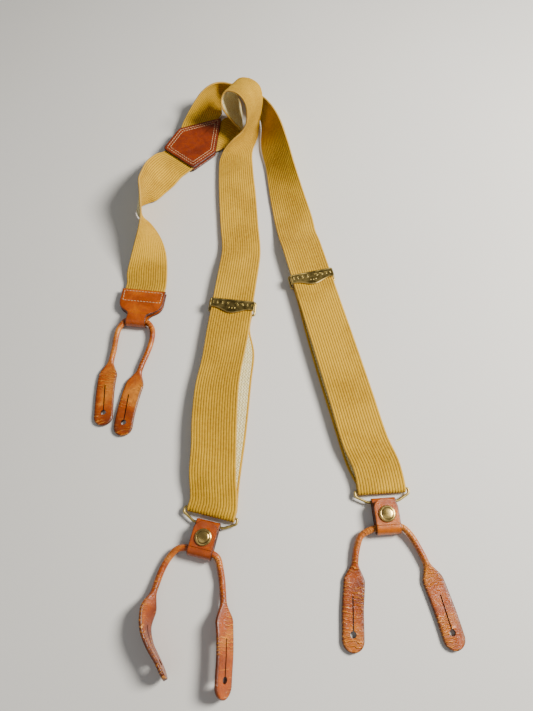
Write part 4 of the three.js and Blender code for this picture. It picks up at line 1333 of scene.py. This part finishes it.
def turned(name, profile, place, material, body, node, sides=72):
    """A turned piece on the snap's axis, from a profile of (radius, height, mark)."""
    build = Builder()
    transform = place.matrix() @ Matrix.Translation((SNAP_AT, 0, 0))
    rings = []
    for radius, height, mark in profile:
        if radius == 0:
            rings.append((build.ring([transform @ Vector((0, 0, height))]), mark))
        else:
            ring = [transform @ Vector((radius * cos, radius * sin, height)) for cos, sin in circle(sides)]
            rings.append((build.ring(ring), mark))
    for (a, mark_a), (b, mark_b) in zip(rings, rings[1:]):
        for j in range(sides):
            k = (j + 1) % sides
            if len(a) == 1:
                build.face([a[0], b[k], b[j]], None, [mark_a, mark_b, mark_b])
            elif len(b) == 1:
                build.face([a[j], a[k], b[0]], None, [mark_a, mark_a, mark_b])
            else:
                build.face([a[j], a[k], b[k], b[j]], None, [mark_a, mark_a, mark_b, mark_b])
    obj = build.object(name, material, 40)
    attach(obj, body)
    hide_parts(node)


def make_cap(side):
    flap_low = FLAP_Z - TAB_THICK / 2
    seat = FLAP_Z + TAB_THICK / 2 + 0.2
    r, h = CAP_RADIUS, CAP_HEIGHT
    profile = [
        (0, flap_low - 0.05, 0), (CAP_BARREL_RADIUS, flap_low - 0.05, 0), (CAP_BARREL_RADIUS, seat, 0),
        (r - 0.35, seat, 1), (r - 0.08, seat + 0.08, 0.8), (r, seat + h * 0.2, 0.3),
        (r - 0.06, seat + h * 0.36, 0),
        (r - 0.3, seat + h * 0.5, 0), (r * 0.88, seat + h * 0.62, 0), (r * 0.82, seat + h * 0.7, 0),
        (r * 0.78, seat + h * 0.71, 0.2), (r * 0.745, seat + h * 0.66, 1), (r * 0.715, seat + h * 0.62, 1),
        (r * 0.685, seat + h * 0.64, 0.8), (r * 0.65, seat + h * 0.74, 0.1), (r * 0.6, seat + h * 0.82, 0),
        (r * 0.5, seat + h * 0.9, 0), (r * 0.36, seat + h * 0.96, 0), (r * 0.2, seat + h * 0.99, 0),
        (0, seat + h, 0),
    ]
    turned(f"snap_cap_{side}_brass", profile, FOLD[side], BRIGHT, f"flap_{side}", f"snap_cap_{side}")


def make_hardware(side):
    edge = HALF_WEB + FRAME_EDGE_ROOM
    wire(f"slider_frame_{side}_wire", [
        (-FRAME_HALF_LENGTH, -edge, UPPER_BAR_Z), (FRAME_HALF_LENGTH, -edge, SLIDE_BAR_Z),
        (FRAME_HALF_LENGTH, edge, SLIDE_BAR_Z), (-FRAME_HALF_LENGTH, edge, UPPER_BAR_Z),
    ], FRAME_RADIUS, FRAME_BEND, SLIDER[side], f"slider_{side}", f"slider_frame_{side}")
    edge = HALF_WEB + BAIL_EDGE_ROOM
    wire(f"wire_bail_{side}_wire", [
        (0, -edge, BAIL_Z), (4, -edge, BAIL_Z), (BAIL_DROP, -BAIL_LOWER_HALF - 1, LOWER_BAR_Z),
        (BAIL_DROP, BAIL_LOWER_HALF + 1, LOWER_BAR_Z), (4, edge, BAIL_Z), (0, edge, BAIL_Z),
    ], WIRE_RADIUS, BAIL_BEND, FOLD[side], f"bail_{side}", f"wire_bail_{side}")
    make_plate(side)
    make_cap(side)
    for name in ("snap_socket", "snap_stud", "snap_eyelet"):
        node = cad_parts[f"{name}_{side}"]
        node.data.materials.clear()
        node.data.materials.append(ANTIQUE)


# ------------------------------------------------------------------ stage, light and camera
def area(name, place, target, size, power, colour):
    light = bpy.data.lights.new(name, "AREA")
    light.shape = "DISK"
    light.size = size
    light.energy = power
    light.color = colour
    obj = bpy.data.objects.new(name, light)
    obj.location = place
    obj.rotation_euler = (Vector(target) - Vector(place)).to_track_quat("-Z", "Y").to_euler()
    bpy.context.scene.collection.objects.link(obj)


def make_stage():
    half = 3.0
    floor = bpy.data.meshes.new("table_top")
    corners = [(-half, -half, 0), (half, -half, 0), (half, half, 0), (-half, half, 0)]
    floor.from_pydata(corners, [], [(0, 1, 2, 3)])
    floor.materials.append(floor_material())
    obj = bpy.data.objects.new("table_top", floor)
    obj.location = (0, 0, cad_box[0][2] - 0.0002)
    bpy.context.scene.collection.objects.link(obj)
    area("key", (0.85, 0.1, 0.8), (-0.02, 0.05, 0), 0.4, 32, (1.0, 0.965, 0.89))
    area("fill", (-0.5, -0.7, 1.1), (0, 0, 0), 1.2, 2, (0.98, 0.98, 0.98))
    world = bpy.data.worlds.new("studio")
    world.use_nodes = True
    background = world.node_tree.nodes["Background"]
    background.inputs["Color"].default_value = (0.97, 0.97, 0.97, 1)
    background.inputs["Strength"].default_value = 0.2
    bpy.context.scene.world = world


def make_camera():
    """Held at arm's length over the near end of the set, looking down and away."""
    down = 63.4
    camera = bpy.data.cameras.new("camera")
    camera.sensor_fit = "HORIZONTAL"
    camera.sensor_width = 36
    camera.lens = 36.07
    camera.clip_start = 0.01
    camera.clip_end = 20
    obj = bpy.data.objects.new("camera", camera)
    obj.location = (0.003, -0.257, 0.426)
    obj.rotation_euler = (math.radians(90 - down), 0, 0)
    bpy.context.scene.collection.objects.link(obj)
    bpy.context.scene.camera = obj


# ------------------------------------------------------------------ the whole set
make_camera()
make_stage()
make_straps()
make_patch()
make_rear_tab()
for side_name in ("left", "right"):
    make_tab(side_name)
    make_hardware(side_name)
    make_loop(f"button_loop_{side_name}", f"loop_{side_name}")
make_loop("rear_button_loop", "loop_rear")
